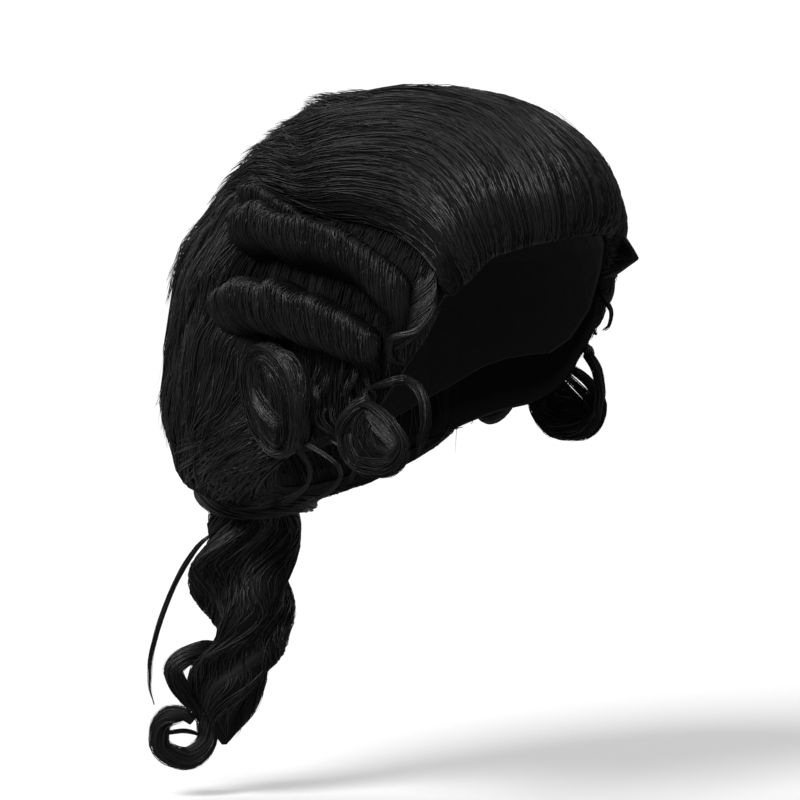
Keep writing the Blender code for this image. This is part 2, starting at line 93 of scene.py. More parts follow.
# Rolls: phi and t of the crest, stand-out, and height of the face under the crest
UPPER_CREST = [
    (131, 59.6, 20, 11), (128.6, 58, 25, 13), (125.5, 56.4, 26.4, 14.5), (122, 54.7, 26.4, 15.5),
    (118.2, 53.4, 27, 16), (112.8, 54.4, 26.5, 15), (107, 55, 27, 15), (101.8, 55.2, 28, 14.5),
    (95, 55.3, 28.6, 14.5), (87.2, 56.5, 28.2, 14.5), (80, 58.2, 27.2, 15.5), (74.5, 60.6, 25.5, 17.5),
    (70, 63.2, 23, 20), (65.5, 65.6, 17.5, 21), (62, 68, 10, 18),
]
UPPER_FOLD = [
    (136, 56.6, 18, 4.5), (132.6, 53.6, 24, 6.5), (128.8, 51.2, 26, 8), (124, 50.2, 25, 8.5),
    (117.6, 50.2, 23.5, 8), (110, 50.8, 20.5, 7), (103, 51.8, 16, 5.5), (97, 53.2, 9.5, 4.5),
]
LOWER_CREST = [
    (130, 79, 19, 12), (127.6, 77.8, 24.5, 15.5), (123.2, 75.8, 26.4, 18), (119.4, 73.8, 26, 19.5),
    (116.2, 72.5, 26.2, 20), (112, 72.9, 25.6, 20), (107.6, 73.2, 25.6, 20), (103.8, 71.4, 26.4, 21.5),
    (99.8, 72.9, 26, 21), (95.6, 74.2, 25.8, 21), (91, 74.1, 25.5, 21.5), (84, 76.4, 24.4, 21),
    (78, 79, 21.5, 19), (73.8, 81.4, 17.5, 16), (71, 83.2, 12, 12),
]
# Section of a roll: down from the crest in faces, stand-out in shares
ROLL_SECTION = [
    (-0.12, 0.0), (-0.2, 0.3), (-0.21, 0.6), (-0.16, 0.82), (-0.06, 0.96), (0.05, 1.0), (0.18, 0.99),
    (0.42, 0.94), (0.7, 0.84), (0.93, 0.66), (1.05, 0.42), (1.07, 0.18), (0.95, 0.0),
]
EAR_CURL = (111.2, 103.8, 19.5, 28.5, 14.5)
TEMPLE_CURL = [
    (-86, -23.5, -114, 3.4), (-88, -15.5, -121.5, 5.4), (-89, -11, -130.5, 6.8), (-90, -14, -140, 7.2),
    (-90.5, -23, -147, 7.2), (-91, -35, -147.3, 6.6), (-91.8, -44, -142.6, 4.8), (-92.8, -47.3, -135.5, 3.1),
    (-93.8, -42.5, -127.5, 2.5), (-93.8, -34.5, -121, 2.3), (-93.2, -26, -117.6, 2.1), (-92, -18.5, -119, 1.6),
]
TEMPLE_FILL = [
    (-88.5, -21.5, -117, 3.0), (-90.5, -19, -125.5, 5.4), (-91.5, -22.5, -133.5, 6.8),
    (-92, -30.5, -139.5, 6.2), (-92, -39.5, -142, 3.4),
]
TEMPLE_RING = [
    (-79.5, -17.5, -110.5, 0.9),
    (-79.8, -22.5, -107.8, 1.6),
    (-80, -28.5, -106, 2.2),
    (-80.5, -37, -104.5, 2.8),
    (-81, -46.5, -107.5, 3.1),
    (-82, -53, -116, 3.2),
    (-83, -54.5, -127, 3.1),
    (-84, -52, -136, 2.6),
    (-85, -51.5, -142, 1.4),
]
TEMPLE_LOCK = [
    (53.8, 72, 1.8), (56, 76.5, 2.3), (60.5, 80.8, 2.6), (64.6, 81.8, 2.7),
    (67.6, 83, 2.6), (68.6, 87, 2.4), (66.8, 90.6, 2.1), (63.5, 91.2, 1.4),
]
LEFT_CURLS_BACK = 12.0
TAIL = [
    (117, -184, 15, 15, 0),
    (117.5, -190, 20, 19.5, 10),
    (119, -197, 22, 20.5, 24),
    (123, -208, 25, 22, 52),
    (125.5, -222, 27, 23, 88),
    (125.5, -236, 26, 22.5, 122),
    (123, -249, 22, 19.5, 154),
    (122.5, -259, 18.5, 16.5, 180),
    (127.5, -269, 20, 18, 208),
    (133.5, -279, 20.5, 18, 236),
    (137, -290, 17.5, 15, 262),
    (137.5, -300, 12.5, 11, 282),
    (138, -309, 6.5, 5.8, 300),
    (138.5, -316, 1.2, 1.2, 310),
]
TAIL_LOBES = 3
TAIL_LOBE_DEPTH = 0.13
NAPE_LOCK = [
    (0, 145.5, -179, 4.6),
    (-13, 142, -181, 5.0),
    (-23.5, 131, -185, 5.3),
    (-27.5, 117, -188, 5.3),
    (-23.5, 103, -189, 5.0),
    (-13, 93, -188, 4.7),
    (0, 89.5, -187, 4.6),
]
TAIL_CURL = [
    (3, 146, -266, 3.4),
    (-2.5, 148.5, -266.5, 4.2),
    (-8.5, 153, -269, 4.6),
    (-13.5, 157.5, -272.5, 4.7),
    (-15.5, 160, -277.5, 4.7),
    (-13.5, 159, -284, 4.6),
    (-8.5, 156, -290.5, 4.8),
    (-3.5, 152.5, -297, 5.0),
    (0, 149.5, -305, 5.1),
    (-1, 148.5, -313, 5.1),
    (-4.5, 150.5, -319.9, 5.4),
    (-10, 155.5, -323.8, 5.6),
    (-16, 161, -321.8, 5.4),
    (-20.5, 165, -315.5, 5.0),
    (-21.5, 164, -307, 4.8),
    (-20, 158.5, -300.5, 5.0),
    (-17.5, 152, -299.5, 4.0),
    (-15.5, 147, -303, 2.6),
]
STRAY_LOCK_X = -6.0
STRAY_LOCK = [
    (143.5, -207, 1.4), (150, -212, 2.0), (158, -221.5, 2.3), (166, -234, 2.2), (173, -248, 2.0),
    (179, -263, 1.7), (182.5, -277, 1.4), (182.5, -288, 1.1), (179.5, -298, 0.7),
]


# ---------------------------------------------------------------- shapes of the head and hair


def curve(rows, at, column=1, level_ends=False):
    """Smooth value of a table's column, with no overshoot between rows."""
    xs = np.array([row[0] for row in rows], float)
    ys = np.array([row[column] for row in rows], float)
    steps = np.diff(ys) / np.diff(xs)
    slopes = np.zeros(len(xs))
    same_way = steps[:-1] * steps[1:] > 0
    mean = 2 * steps[:-1] * steps[1:] / (steps[:-1] + steps[1:] + 1e-12)
    slopes[1:-1] = np.where(same_way, mean, 0)
    if not level_ends:
        slopes[0] = steps[0]
        slopes[-1] = steps[-1]
    at = np.clip(np.asarray(at, float), xs[0], xs[-1])
    k = np.clip(np.searchsorted(xs, at, side="right") - 1, 0, len(xs) - 2)
    width = xs[k + 1] - xs[k]
    u = (at - xs[k]) / width
    rise = ys[k + 1] - ys[k]
    a = slopes[k] * width - rise
    b = rise - slopes[k + 1] * width
    return ys[k] + rise * u + u * (1 - u) * (a * (1 - u) + b * u)


def around(rows, phi):
    """Smooth value of a table over phi, the same on both sides."""
    turned = np.abs((np.asarray(phi, float) + 180) % 360 - 180)
    return curve(rows, turned, level_ends=True)


def way(phi, t):
    """Unit vector from the middle of the skull."""
    p = np.radians(phi)
    q = np.radians(t)
    flat = np.sin(q)
    return np.stack([-flat * np.sin(p), -flat * np.cos(p), np.cos(q) * np.ones_like(p)], axis=-1)


def skull(d):
    drop = np.where(d[..., 2] > 0, HEAD_RISE, HEAD_DROP)
    total = np.abs(d[..., 0] / HEAD_HALF_WIDTH) ** HEAD_POWER
    total = total + np.abs(d[..., 1] / HEAD_HALF_LENGTH) ** HEAD_POWER
    total = total + np.abs(d[..., 2] / drop) ** HEAD_POWER
    return total ** (-1 / HEAD_POWER)


def hair_form(points):
    z = points[..., 2] - HAIR_MIDDLE_Z
    y = points[..., 1] - HAIR_MIDDLE_Y + HAIR_LEAN * points[..., 2]
    rise = np.where(z > 0, HAIR_RISE, HAIR_DROP)
    total = np.abs(points[..., 0] / HAIR_HALF_WIDTH) ** HAIR_POWER
    total = total + np.abs(y / HAIR_HALF_LENGTH) ** HAIR_POWER
    return total + np.abs(z / rise) ** HAIR_POWER


def place(d, radius):
    points = d * np.asarray(radius)[..., None]
    points[..., 2] -= HEAD_RISE
    return points


def hair_radius(d):
    low = np.full(d.shape[:-1], 40.0)
    high = np.full(d.shape[:-1], 260.0)
    for _ in range(22):
        middle = (low + high) / 2
        inside = hair_form(place(d, middle)) < 1
        low = np.where(inside, middle, low)
        high = np.where(inside, high, middle)
    return (low + high) / 2


def angles(points):
    x = points[..., 0]
    y = points[..., 1]
    z = points[..., 2] + HEAD_RISE
    flat = np.hypot(x, y)
    return np.degrees(np.arctan2(-x, -y)), np.degrees(np.arctan2(flat, z)), np.hypot(flat, z)


def hair_floor(phi, t):
    return skull(way(phi, t)) + CAP_WALL + CAP_GAP


def side_top(phi, t):
    left = np.clip((around(HAIR_EDGE, phi) - t) / 14, 0, 1)
    return hair_floor(phi, t) + SIDE_THICKNESS * (0.35 + 0.65 * np.sqrt(left))


# ---------------------------------------------------------------- noise


class Noise:
    """Smooth random values over two coordinates, the same each run."""

    def __init__(self, seed):
        self.values = np.random.default_rng(seed).uniform(-1, 1, (256, 256))

    def __call__(self, u, v=0.0):
        u, v = np.broadcast_arrays(np.asarray(u, float), np.asarray(v, float))
        i = np.floor(u).astype(int)
        j = np.floor(v).astype(int)
        fu = u - i
        fv = v - j
        fu = fu * fu * (3 - 2 * fu)
        fv = fv * fv * (3 - 2 * fv)
        i, j = i % 256, j % 256
        a = self.values[i, j] * (1 - fu) + self.values[(i + 1) % 256, j] * fu
        b = self.values[i, (j + 1) % 256] * (1 - fu) + self.values[(i + 1) % 256, (j + 1) % 256] * fu
        return a * (1 - fv) + b * fv


# ---------------------------------------------------------------- meshes


class Tress:
    """Vertices, faces and map of one piece, gathered from surfaces and strands."""

    def __init__(self):
        self.points = []
        self.corners = []
        self.sizes = []
        self.maps = []
        self.count = 0

    def add(self, points, faces, uv):
        """faces is (n, 3) or (n, 4) indices, uv is (n, 3 or 4, 2)."""
        self.points.append(np.asarray(points, float).reshape(-1, 3))
        base = self.count
        self.count += len(self.points[-1])
        for group, placed in zip(faces, uv):
            if len(group):
                self.corners.append((np.asarray(group) + base).ravel())
                self.sizes.append(np.full(len(group), np.asarray(group).shape[1]))
                self.maps.append(np.asarray(placed, float).reshape(-1, 2))

    def mirrored(self):
        """The same on the other side, faces turned back out."""
        other = Tress()
        other.count = self.count
        other.points = [p * (-1, 1, 1) for p in self.points]
        for corners, sizes, placed in zip(self.corners, self.sizes, self.maps):
            n = sizes[0]
            other.corners.append(corners.reshape(-1, n)[:, ::-1].ravel())
            other.sizes.append(sizes)
            other.maps.append(placed.reshape(-1, n, 2)[:, ::-1].reshape(-1, 2))
        return other

    def triangles(self):
        return int(sum((s - 2).sum() for s in self.sizes))

    def build(self, name, look, slot, *nodes):
        points = np.concatenate(self.points) * MM
        corners = np.concatenate(self.corners)
        sizes = np.concatenate(self.sizes)
        placed = np.concatenate(self.maps)
        mesh = bpy.data.meshes.new(name)
        mesh.vertices.add(len(points))
        mesh.vertices.foreach_set("co", points.astype(np.float32).ravel())
        mesh.loops.add(len(corners))
        mesh.loops.foreach_set("vertex_index", corners.astype(np.int32))
        mesh.polygons.add(len(sizes))
        starts = np.concatenate([[0], np.cumsum(sizes)[:-1]])
        mesh.polygons.foreach_set("loop_start", starts.astype(np.int32))
        mesh.update(calc_edges=True)
        mesh.polygons.foreach_set("use_smooth", np.ones(len(sizes), bool))
        layer = mesh.uv_layers.new(name="OFBake")
        layer.uv.foreach_set("vector", placed.astype(np.float32).ravel())
        for each in look:
            mesh.materials.append(each)
        # Faces mapped at or past BASE_U take the last look, the painted-shade copy of the hair.
        painted_shade_mask = placed[starts, 0] > BASE_U - 0.005
        mesh.polygons.foreach_set("material_index", painted_shade_mask.astype(np.int32) * (len(look) - 1))
        made = bpy.data.objects.new(name, mesh)
        bpy.context.scene.collection.objects.link(made)
        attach(made, "root")
        if nodes:
            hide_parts(*nodes)
        totals[name] = self.triangles()
        return made


totals = {}


def strand_faces(count, steps, sides):
    """Faces of count strands of rings, each ended by one point."""
    rings = steps - 1
    size = rings * sides + 1
    k = np.arange(sides)
    n = (k + 1) % sides
    row = np.arange(rings - 1)[:, None] * sides
    quads = np.stack([row + k, row + n, row + sides + n, row + sides + k], -1).reshape(-1, 4)
    last = (rings - 1) * sides
    tips = np.stack([last + k, last + n, np.full(sides, rings * sides)], -1)
    roots = np.arange(sides)[::-1].reshape(1, -1)
    base = (np.arange(count) * size)[:, None, None]
    return [(quads + base).reshape(-1, 4), (tips + base).reshape(-1, 3), (roots + base).reshape(-1, sides)]


# Map columns from BASE_U on take the painted-shade look; the base surfaces and the strands with deep set are mapped
# there.
BASE_U = 0.77
BASE_SPAN = 0.22
STRAND_COLUMN = 1 / 64


def add_strands(tress, paths, normals, widths, rng, flat=0.75, deep=False):
    """Tapered strands: paths (n, steps, 3), normals the same, half widths (n, steps). With deep set, they are mapped
    to take the painted-shade look.
    """
    count, steps = paths.shape[:2]
    sides = 3
    along = np.gradient(paths, axis=1)
    along /= np.linalg.norm(along, axis=2, keepdims=True) + 1e-9
    across = np.cross(along, normals)
    across /= np.linalg.norm(across, axis=2, keepdims=True) + 1e-9
    up = np.cross(across, along)
    w = widths[..., None]
    left = paths - across * w
    top = paths + up * w * flat
    right = paths + across * w
    rings = np.stack([left, top, right], axis=2)[:, :-1]
    points = np.concatenate([rings.reshape(count, -1, 3), paths[:, -1:]], axis=1)
    faces = strand_faces(count, steps, sides)
    # Strands with deep set go into the painted-shade part of the map.
    if deep:
        u0 = BASE_U + (BASE_SPAN - STRAND_COLUMN) * rng.uniform(0, 1, count)
    else:
        u0 = (rng.integers(0, 48, count) + 0.1) * STRAND_COLUMN
    v = np.linspace(0.005, 0.995, steps)
    span = 0.8 * STRAND_COLUMN
    k = np.arange(sides)
    ua = u0[:, None, None] + span * (k / sides)
    ub = u0[:, None, None] + span * ((k + 1) / sides)
    va = v[:-2][None, :, None] + 0 * ua
    vb = v[1:-1][None, :, None] + 0 * ua
    ua, ub = ua + 0 * va, ub + 0 * va
    quad_map = np.stack([np.stack([ua, va], -1), np.stack([ub, va], -1), np.stack([ub, vb], -1), np.stack([ua, vb], -1)], 3)
    ta, tb = ua[:, 0], ub[:, 0]
    tv = np.full_like(ta, v[-2])
    tip_map = np.stack([np.stack([ta, tv], -1), np.stack([tb, tv], -1), np.stack([(ta + tb) / 2, tv * 0 + v[-1]], -1)], 2)
    root_map = np.stack([ta, ta * 0 + v[0]], -1)[:, ::-1].copy()
    root_map[..., 1] += 0.002 * np.arange(3)
    tress.add(points, faces, [quad_map.reshape(-1, 4, 2), tip_map.reshape(-1, 3, 2), root_map.reshape(-1, 3, 2)])


def add_grid(tress, outer, uv, wrap=False, flip=False):
    """Surface through a grid of points. Returns nothing."""
    rows, columns = outer.shape[:2]
    r = np.arange(rows - 1)[:, None]
    k = np.arange(columns if wrap else columns - 1)[None, :]
    n = (k + 1) % columns
    faces = np.stack([r * columns + k, r * columns + n, (r + 1) * columns + n, (r + 1) * columns + k], -1).reshape(-1, 4)
    u, v = uv
    u = np.broadcast_to(u, (rows, columns))
    v = np.broadcast_to(v, (rows, columns))
    flat = np.stack([u.ravel(), v.ravel()], -1)
    placed = flat[faces]
    if wrap:
        last = (faces[:, 1] % columns == 0)
        step = u[0, 1] - u[0, 0]
        placed[last, 1, 0] = placed[last, 0, 0] + step
        placed[last, 2, 0] = placed[last, 3, 0] + step
    # Base surfaces are all mapped to take the painted-shade look.
    placed[..., 0] = BASE_U + BASE_SPAN * placed[..., 0]
    if flip:
        faces = faces[:, ::-1]
        placed = placed[:, ::-1]
    tress.add(outer.reshape(-1, 3), [faces], [placed])


def add_shell(tress, outer, inner, uv, step, flip=False):
    """Closed shell: a fine outer grid, a coarse inner one, and a rim of many-sided faces between."""
    rows, columns = outer.shape[:2]
    coarse = inner[::step, ::step]
    ri, ci = coarse.shape[:2]
    base = rows * columns
    points = np.concatenate([outer.reshape(-1, 3), coarse.reshape(-1, 3)])
    r = np.arange(rows - 1)[:, None]
    k = np.arange(columns - 1)[None, :]
    quads = np.stack([r * columns + k, r * columns + k + 1, (r + 1) * columns + k + 1, (r + 1) * columns + k], -1).reshape(-1, 4)
    r = np.arange(ri - 1)[:, None]
    k = np.arange(ci - 1)[None, :]
    under = base + np.stack([r * ci + k, (r + 1) * ci + k, (r + 1) * ci + k + 1, r * ci + k + 1], -1).reshape(-1, 4)
    rim = []
    for i in range(ci - 1):
        fine = [i * step + j for j in range(step + 1)]
        rim.append([base + i, base + i + 1] + fine[::-1])
        low = (rows - 1) * columns
        rim.append([base + (ri - 1) * ci + i + 1, base + (ri - 1) * ci + i] + [low + f for f in fine])
    for i in range(ri - 1):
        fine = [(i * step + j) * columns for j in range(step + 1)]
        rim.append([base + (i + 1) * ci, base + i * ci] + fine)
        rim.append([base + i * ci + ci - 1, base + (i + 1) * ci + ci - 1] + [f + columns - 1 for f in fine[::-1]])
    rim = np.array(rim)
    u, v = np.broadcast_to(uv[0], (rows, columns)), np.broadcast_to(uv[1], (rows, columns))
    flat = np.stack([u.ravel(), v.ravel()], -1)
    flat = np.concatenate([flat, np.stack([u[::step, ::step].ravel(), v[::step, ::step].ravel()], -1)])
    # Base surfaces are all mapped to take the painted-shade look.
    flat[:, 0] = BASE_U + BASE_SPAN * flat[:, 0]
    faces = [quads, under, rim]
    if flip:
        faces = [f[:, ::-1] for f in faces]
    tress.add(points, faces, [flat[f] for f in faces])


def grid_normals(grid, wrap=False):
    """Unit normals of a grid of points."""
    if wrap:
        du = np.roll(grid, -1, axis=1) - np.roll(grid, 1, axis=1)
    else:
        du = np.gradient(grid, axis=1)
    dv = np.gradient(grid, axis=0)
    n = np.cross(dv, du)
    return n / (np.linalg.norm(n, axis=-1, keepdims=True) + 1e-9)


# ---------------------------------------------------------------- the flow of the combed hair


def flat_map(phi, t):
    p = np.radians(phi)
    return -t * np.sin(p), -t * np.cos(p)


def from_flat(qx, qy):
    return np.degrees(np.arctan2(-qx, -qy)), np.hypot(qx, qy)


GATHER = 150.0
border_phi = np.linspace(50, 125, 76)
border_x, border_y = flat_map(border_phi, around(TOP_BORDER, border_phi))
DRAW_START = 20.0
gather_y = np.linspace(border_y[-1] + 1, GATHER - 0.3, 60)


def draw_in(qy):
    """Share of its width that the hair keeps on its way to the tie."""
    return (1 - ((qy - DRAW_START) / (GATHER - DRAW_START)) ** 1.5) ** 0.75


LANE_Y = np.concatenate([[-75.0], border_y, gather_y])
LANE_X = np.concatenate([[56.0], -border_x, -border_x[-1] * draw_in(gather_y) / draw_in(border_y[-1])])
BEND = [(-60, 1.0), (-50, 1.02), (-35, 1.2), (-18, 1.36), (-4, 1.24), (12, 0.87), (24, 0.74), (40, 0.86), (62, 1.0), (150, 1.0)]


def lane_x(lane, qy):
    """Where a lane of hair is across the flat map, at qy along it."""
    reach = np.interp(qy, LANE_Y, LANE_X)
    bend = curve(BEND, qy)
    share = np.sign(lane) * np.where(np.abs(lane) < 1, np.abs(lane) ** bend, np.abs(lane))
    return -share * reach


def lane_of(qx, qy):
    reach = np.interp(qy, LANE_Y, LANE_X)
    bend = curve(BEND, qy)
    share = np.abs(qx) / reach
    return -np.sign(qx) * np.where(share < 1, share ** (1 / bend), share)


def flow(rng, qx, qy, length, steps, sway=0.1):
    """Paths on the flat map: down the back from the crown, then in towards the tie."""
    count = len(qx)
    tilt = rng.normal(0, sway, count)
    wave = rng.uniform(0, 6.28, count)
    out = [(qx, qy)]
    halves = 2 * (steps - 1)
    h = length / halves
    for k in range(halves):
        ahead = lane_x(lane_of(qx, qy), qy + 1) - qx
        norm = np.hypot(ahead, 1)
        t = np.hypot(qx, qy)
        rise = np.clip((t - 44) / 16, 0, 1)
        fall = np.clip((t - 94) / 24, 0, 1)
        w = FLOW_DOWN * rise * rise * (3 - 2 * rise) * (1 - fall * fall * (3 - 2 * fall))
        dx = w * qx / t + (1 - w) * ahead / norm
        dy = w * qy / t + (1 - w) / norm
        turn = tilt + sway * 1.2 * np.sin(wave + 5.0 * k / halves)
        size = np.hypot(dx, dy)
        c, n = np.cos(turn), np.sin(turn)
        dx, dy = (dx * c - dy * n) / size, (dx * n + dy * c) / size
        go = np.where(qy > GATHER - 3, 0, h)
        qx = qx + dx * go
        qy = qy + dy * go
        if k % 2:
            out.append((qx, qy))
    return np.stack([x for x, y in out], 1), np.stack([y for x, y in out], 1)


FLOW_DOWN = 0.82
# Shares of strands given painted shade, spread at random, in each part of the hair.
CROWN_PAINTED_SHADE = 0.3
FRONT_PAINTED_SHADE = 0.45
BACK_PAINTED_SHADE = 0.22
TAIL_PAINTED_SHADE = 0.4
line_phi = np.linspace(-50, 50, 201)
line_x, line_y = flat_map(line_phi, around(TOP_BORDER, line_phi))
line_lane = lane_of(line_x, line_y)
order = np.argsort(line_lane)
LINE_LANE, LINE_Y = line_lane[order], line_y[order]
back_phi = np.linspace(125, 235, 201)
back_x, back_y = flat_map(back_phi, around(TOP_BORDER, back_phi))
back_lane = lane_of(back_x, back_y)
order = np.argsort(back_lane)
BACK_LANE, BACK_Y = back_lane[order], back_y[order]

comb = Noise(11)
comb_fine = Noise(12)
comb_wide = Noise(13)


def combed(qx, qy):
    """Height of the combed relief on the flat map: ridges that follow the lanes."""
    lane = lane_of(qx, qy)
    spread = np.clip((GATHER - qy) / 120, 0.1, 1)
    wide = comb_wide(lane * 6.5 + 40, qy / 30 + 8) * 2.0
    drift = comb_wide(lane * 2.5 + 120, qy / 60 + 60)
    wave = np.sin(2 * math.pi * (qy / 33 + 0.5 * np.abs(lane) + 0.55 * drift)) * np.clip((qy + 40) / 40, 0, 1)
    middle = comb(lane * 17 + 60, qy / 42 + 3)
    middle = 1 - np.abs(middle) ** 0.8 * 2
    fine = comb_fine(lane * 44 + 90, qy / 60 + 5)
    return (wide + 1.1 * wave + 0.85 * middle + 0.36 * fine) * spread


def swell(turned, t):
    """Small fullnesses and hollows of the combed form."""
    behind = np.clip((turned - 100) / 30, 0, 1)
    front = np.clip((80 - turned) / 30, 0, 1)
    corner = np.exp(-((turned - 45) / 14) ** 2)
    high = 4.0 * np.exp(-((t - 29) / 6.5) ** 2) + 1.0 * np.exp(-((t - 48) / 5) ** 2)
    low = 3.0 * np.exp(-((t - 121) / 5.5) ** 2) - 3.8 * np.exp(-((t - 90) / 11) ** 2) - 2.4 * np.exp(-((t - 62) / 9) ** 2)
    flat = -2.6 * np.exp(-((t - 28) / 12) ** 2)
    return behind * (high + low) + front * flat + 2.8 * corner * np.exp(-((t - 61) / 7) ** 2)


def crown_radius(phi, t):
    """Radius of the combed-back top over its own border and on over the back."""
    border = around(TOP_BORDER, phi)
    d = way(phi, t)
    floor = hair_floor(phi, t)
    full = hair_radius(d) - floor
    turned = np.abs((phi + 180) % 360 - 180)
    share = np.clip(t / border, 0, 1)
    closed = np.clip((136 - turned) / 10, 0, 1)
    front = np.clip((70 - turned) / 30, 0, 1)
    rounding = (1 - share ** (5 + 5 * front)) ** 0.6
    edge = 0.25 + 0.75 * rounding
    cover = edge * closed + (1 - closed)
    qx, qy = flat_map(phi, t)
    return floor + (full + swell(turned, t)) * cover + combed(qx, qy) * np.minimum(1, cover * 1.2)


layer_noise = Noise(21)
fall_noise = Noise(22)
fall_fine = Noise(23)


def behind_ear(t):
    """0 beside the rolls, 1 beside the curl over the ear."""
    share = np.clip((t - 79) / 10, 0, 1)
    return share * share * (3 - 2 * share)


def back_front(t):
    """Turn at which the back hair begins."""
    return 128.5 - 7.5 * behind_ear(t)


def back_radius(phi, t):
    """Radius of the full back hair with its layers."""
    d = way(phi, t)
    floor = hair_floor(phi, t)
    bottom = around(HAIR_EDGE, phi)
    top = around(TOP_BORDER, phi)
    down = np.clip((t - top) / (bottom - top), 0, 1)
    turned = np.abs((phi + 180) % 360 - 180)
    inward = np.clip((turned - back_front(t)) / 14, 0, 1)
    steep = 0.68 + 0.32 * np.sqrt(1 - (1 - inward) ** 2)
    shoulder = 0.3 + 0.7 * (1 - (1 - inward) ** 2)
    below = behind_ear(t)
    front = steep * (1 - below) + shoulder * below
    under = 0.42 + 0.58 * (1 - down ** 10) ** 0.6
    part = t / 17 + 0.5 * np.sin(np.radians(phi) * 9) + 0.25 * layer_noise(phi / 9, t / 12)
    saw = part % 1
    relief = 2.0 * np.minimum(saw, (1 - saw) * 6) + 1.3 * np.sin(np.radians(phi) * 17)
    relief = relief * np.clip(6 * down * (1 - down), 0, 1)
    qx, qy = flat_map(phi, t)
    full = hair_radius(d) - floor + swell(turned, t)
    start = np.clip((t - 48) / 12, 0, 1)
    falling = start * (1 - np.clip((t - 96) / 18, 0, 1))
    strips = 1.3 * fall_noise(phi / 6.5 + 20, t / 34 + 4) + 0.8 * fall_fine(phi / 2.1 + 80, t / 40 + 9)
    comb_part = combed(qx, qy) * (1 - falling) + 1.25 * strips * falling
    return floor + full * front * under + relief + 0.8 * comb_part * under


def outer_radius(phi, t):
    """Radius of the shown top or back hair, whichever is there."""
    border = around(TOP_BORDER, phi)
    return np.where(t < border, crown_radius(phi, t), back_radius(phi, np.maximum(t, border)))


def crown_over(phi, t):
    """Radius for strands of the crown: they end at its own border at the sides."""
    turned = np.abs((phi + 180) % 360 - 180)
    on = (t < around(TOP_BORDER, phi)) | (turned < 128)
    return np.where(on, crown_radius(phi, t), back_radius(phi, np.maximum(t, around(TOP_BORDER, phi))))


def side_radius(phi, t):
    """Radius over the top's border and on down the flat side hair."""
    border = around(TOP_BORDER, phi)
    share = np.clip((t - border + 1) / 6, 0, 1)
    share = share * share * (3 - 2 * share)
    return crown_radius(phi, np.minimum(t, border)) * (1 - share) + side_top(phi, t) * share


def hair_edge(phi):
    return around(HAIR_EDGE, phi)


def top_border(phi):
    return around(TOP_BORDER, phi)


def fold_under(phi, t, lift, radius, edge):
    """Points and outward directions on a surface that turns under at its edge and on up inside."""
    low = edge(phi)
    over = np.maximum(0, t - low) * MM_PER_DEGREE
    on = np.minimum(t, low)
    top = radius(phi, on) + lift
    wall = top - hair_floor(phi, on) - 0.2
    down = np.clip(over, 0, wall)
    inside = np.maximum(0, over - wall)
    on = on + np.where(over > 0, 0.3 + 0.15 * np.maximum(lift, 0), 0) - inside / MM_PER_DEGREE
    within = hair_floor(phi, on) - 0.4 - 0.3 * np.maximum(lift, 0)
    r = np.where(inside > 0, within, top - down)
    d = way(phi, on)
    p, q = np.radians(phi), np.radians(on)
    e = np.stack([-np.cos(q) * np.sin(p), -np.cos(q) * np.cos(p), -np.sin(q)], -1)
    normals = np.where(inside[..., None] > 0, -d, np.where(over[..., None] > 0, e, d))
    return place(d, r), normals


MM_PER_DEGREE = 1.9


# ---------------------------------------------------------------- strands


def taper(steps, thick, root=0.55, tip=0.15, rng=None):
    """Half widths along strands that swell from the root and run out at the tip."""
    s = np.linspace(0, 1, steps)
    form = np.minimum(1, root + s * 6) * (1 - (1 - tip) * s ** 3)
    return thick[:, None] * form[None, :]


def lay(tress, rng, lanes, start, length, lift, thick, s, wander=0.012, radius=outer_radius, edge=hair_edge, painted_shade=None):
    """Strands along the lanes of the flat map, at the steps s of a length in degrees."""
    count = len(lanes)
    s = np.asarray(s)[None, :]
    qy = start[:, None] + length[:, None] * s
    sway = rng.normal(0, wander, (count, 1)) * s
    sway = sway + rng.normal(0, wander * 0.5, (count, 1)) * np.sin(s * 5 + rng.uniform(0, 6, (count, 1)))
    lane = lanes[:, None] + sway * (1 + np.abs(lanes[:, None]))
    phi, t = from_flat(lane_x(lane, qy), qy)
    points, normals = fold_under(phi, t, lift, radius, edge)
    widths = thick[:, None] * np.minimum(1, 0.55 + s * 6) * (1 - 0.85 * s ** 3)
    # Strands picked by the mask take the painted-shade look.
    if painted_shade is None:
        painted_shade = np.zeros(count, bool)
    for group, deep in ((painted_shade, True), (~painted_shade, False)):
        if group.any():
            add_strands(tress, points[group], normals[group], widths[group], rng, deep=deep)


def part_shaded(tress, points, normals, widths, rng, share):
    """Strands of which a share, spread at random, is given painted shade."""
    painted_shade = rng.uniform(0, 1, len(points)) < share
    for group, deep in ((painted_shade, True), (~painted_shade, False)):
        add_strands(tress, points[group], normals[group], widths[group], rng, deep=deep)


def evenly(steps):
    return np.linspace(0, 1, steps)


def settled(rng, count, s, low, high, sink=1.2, tip=0.8):
    """Heights over a surface: out of it at the root, back to it at the tip."""
    s = np.asarray(s)[None, :]
    return rng.uniform(low, high, (count, 1)) - sink * (1 - np.minimum(1, s * 6)) - tip * s ** 4


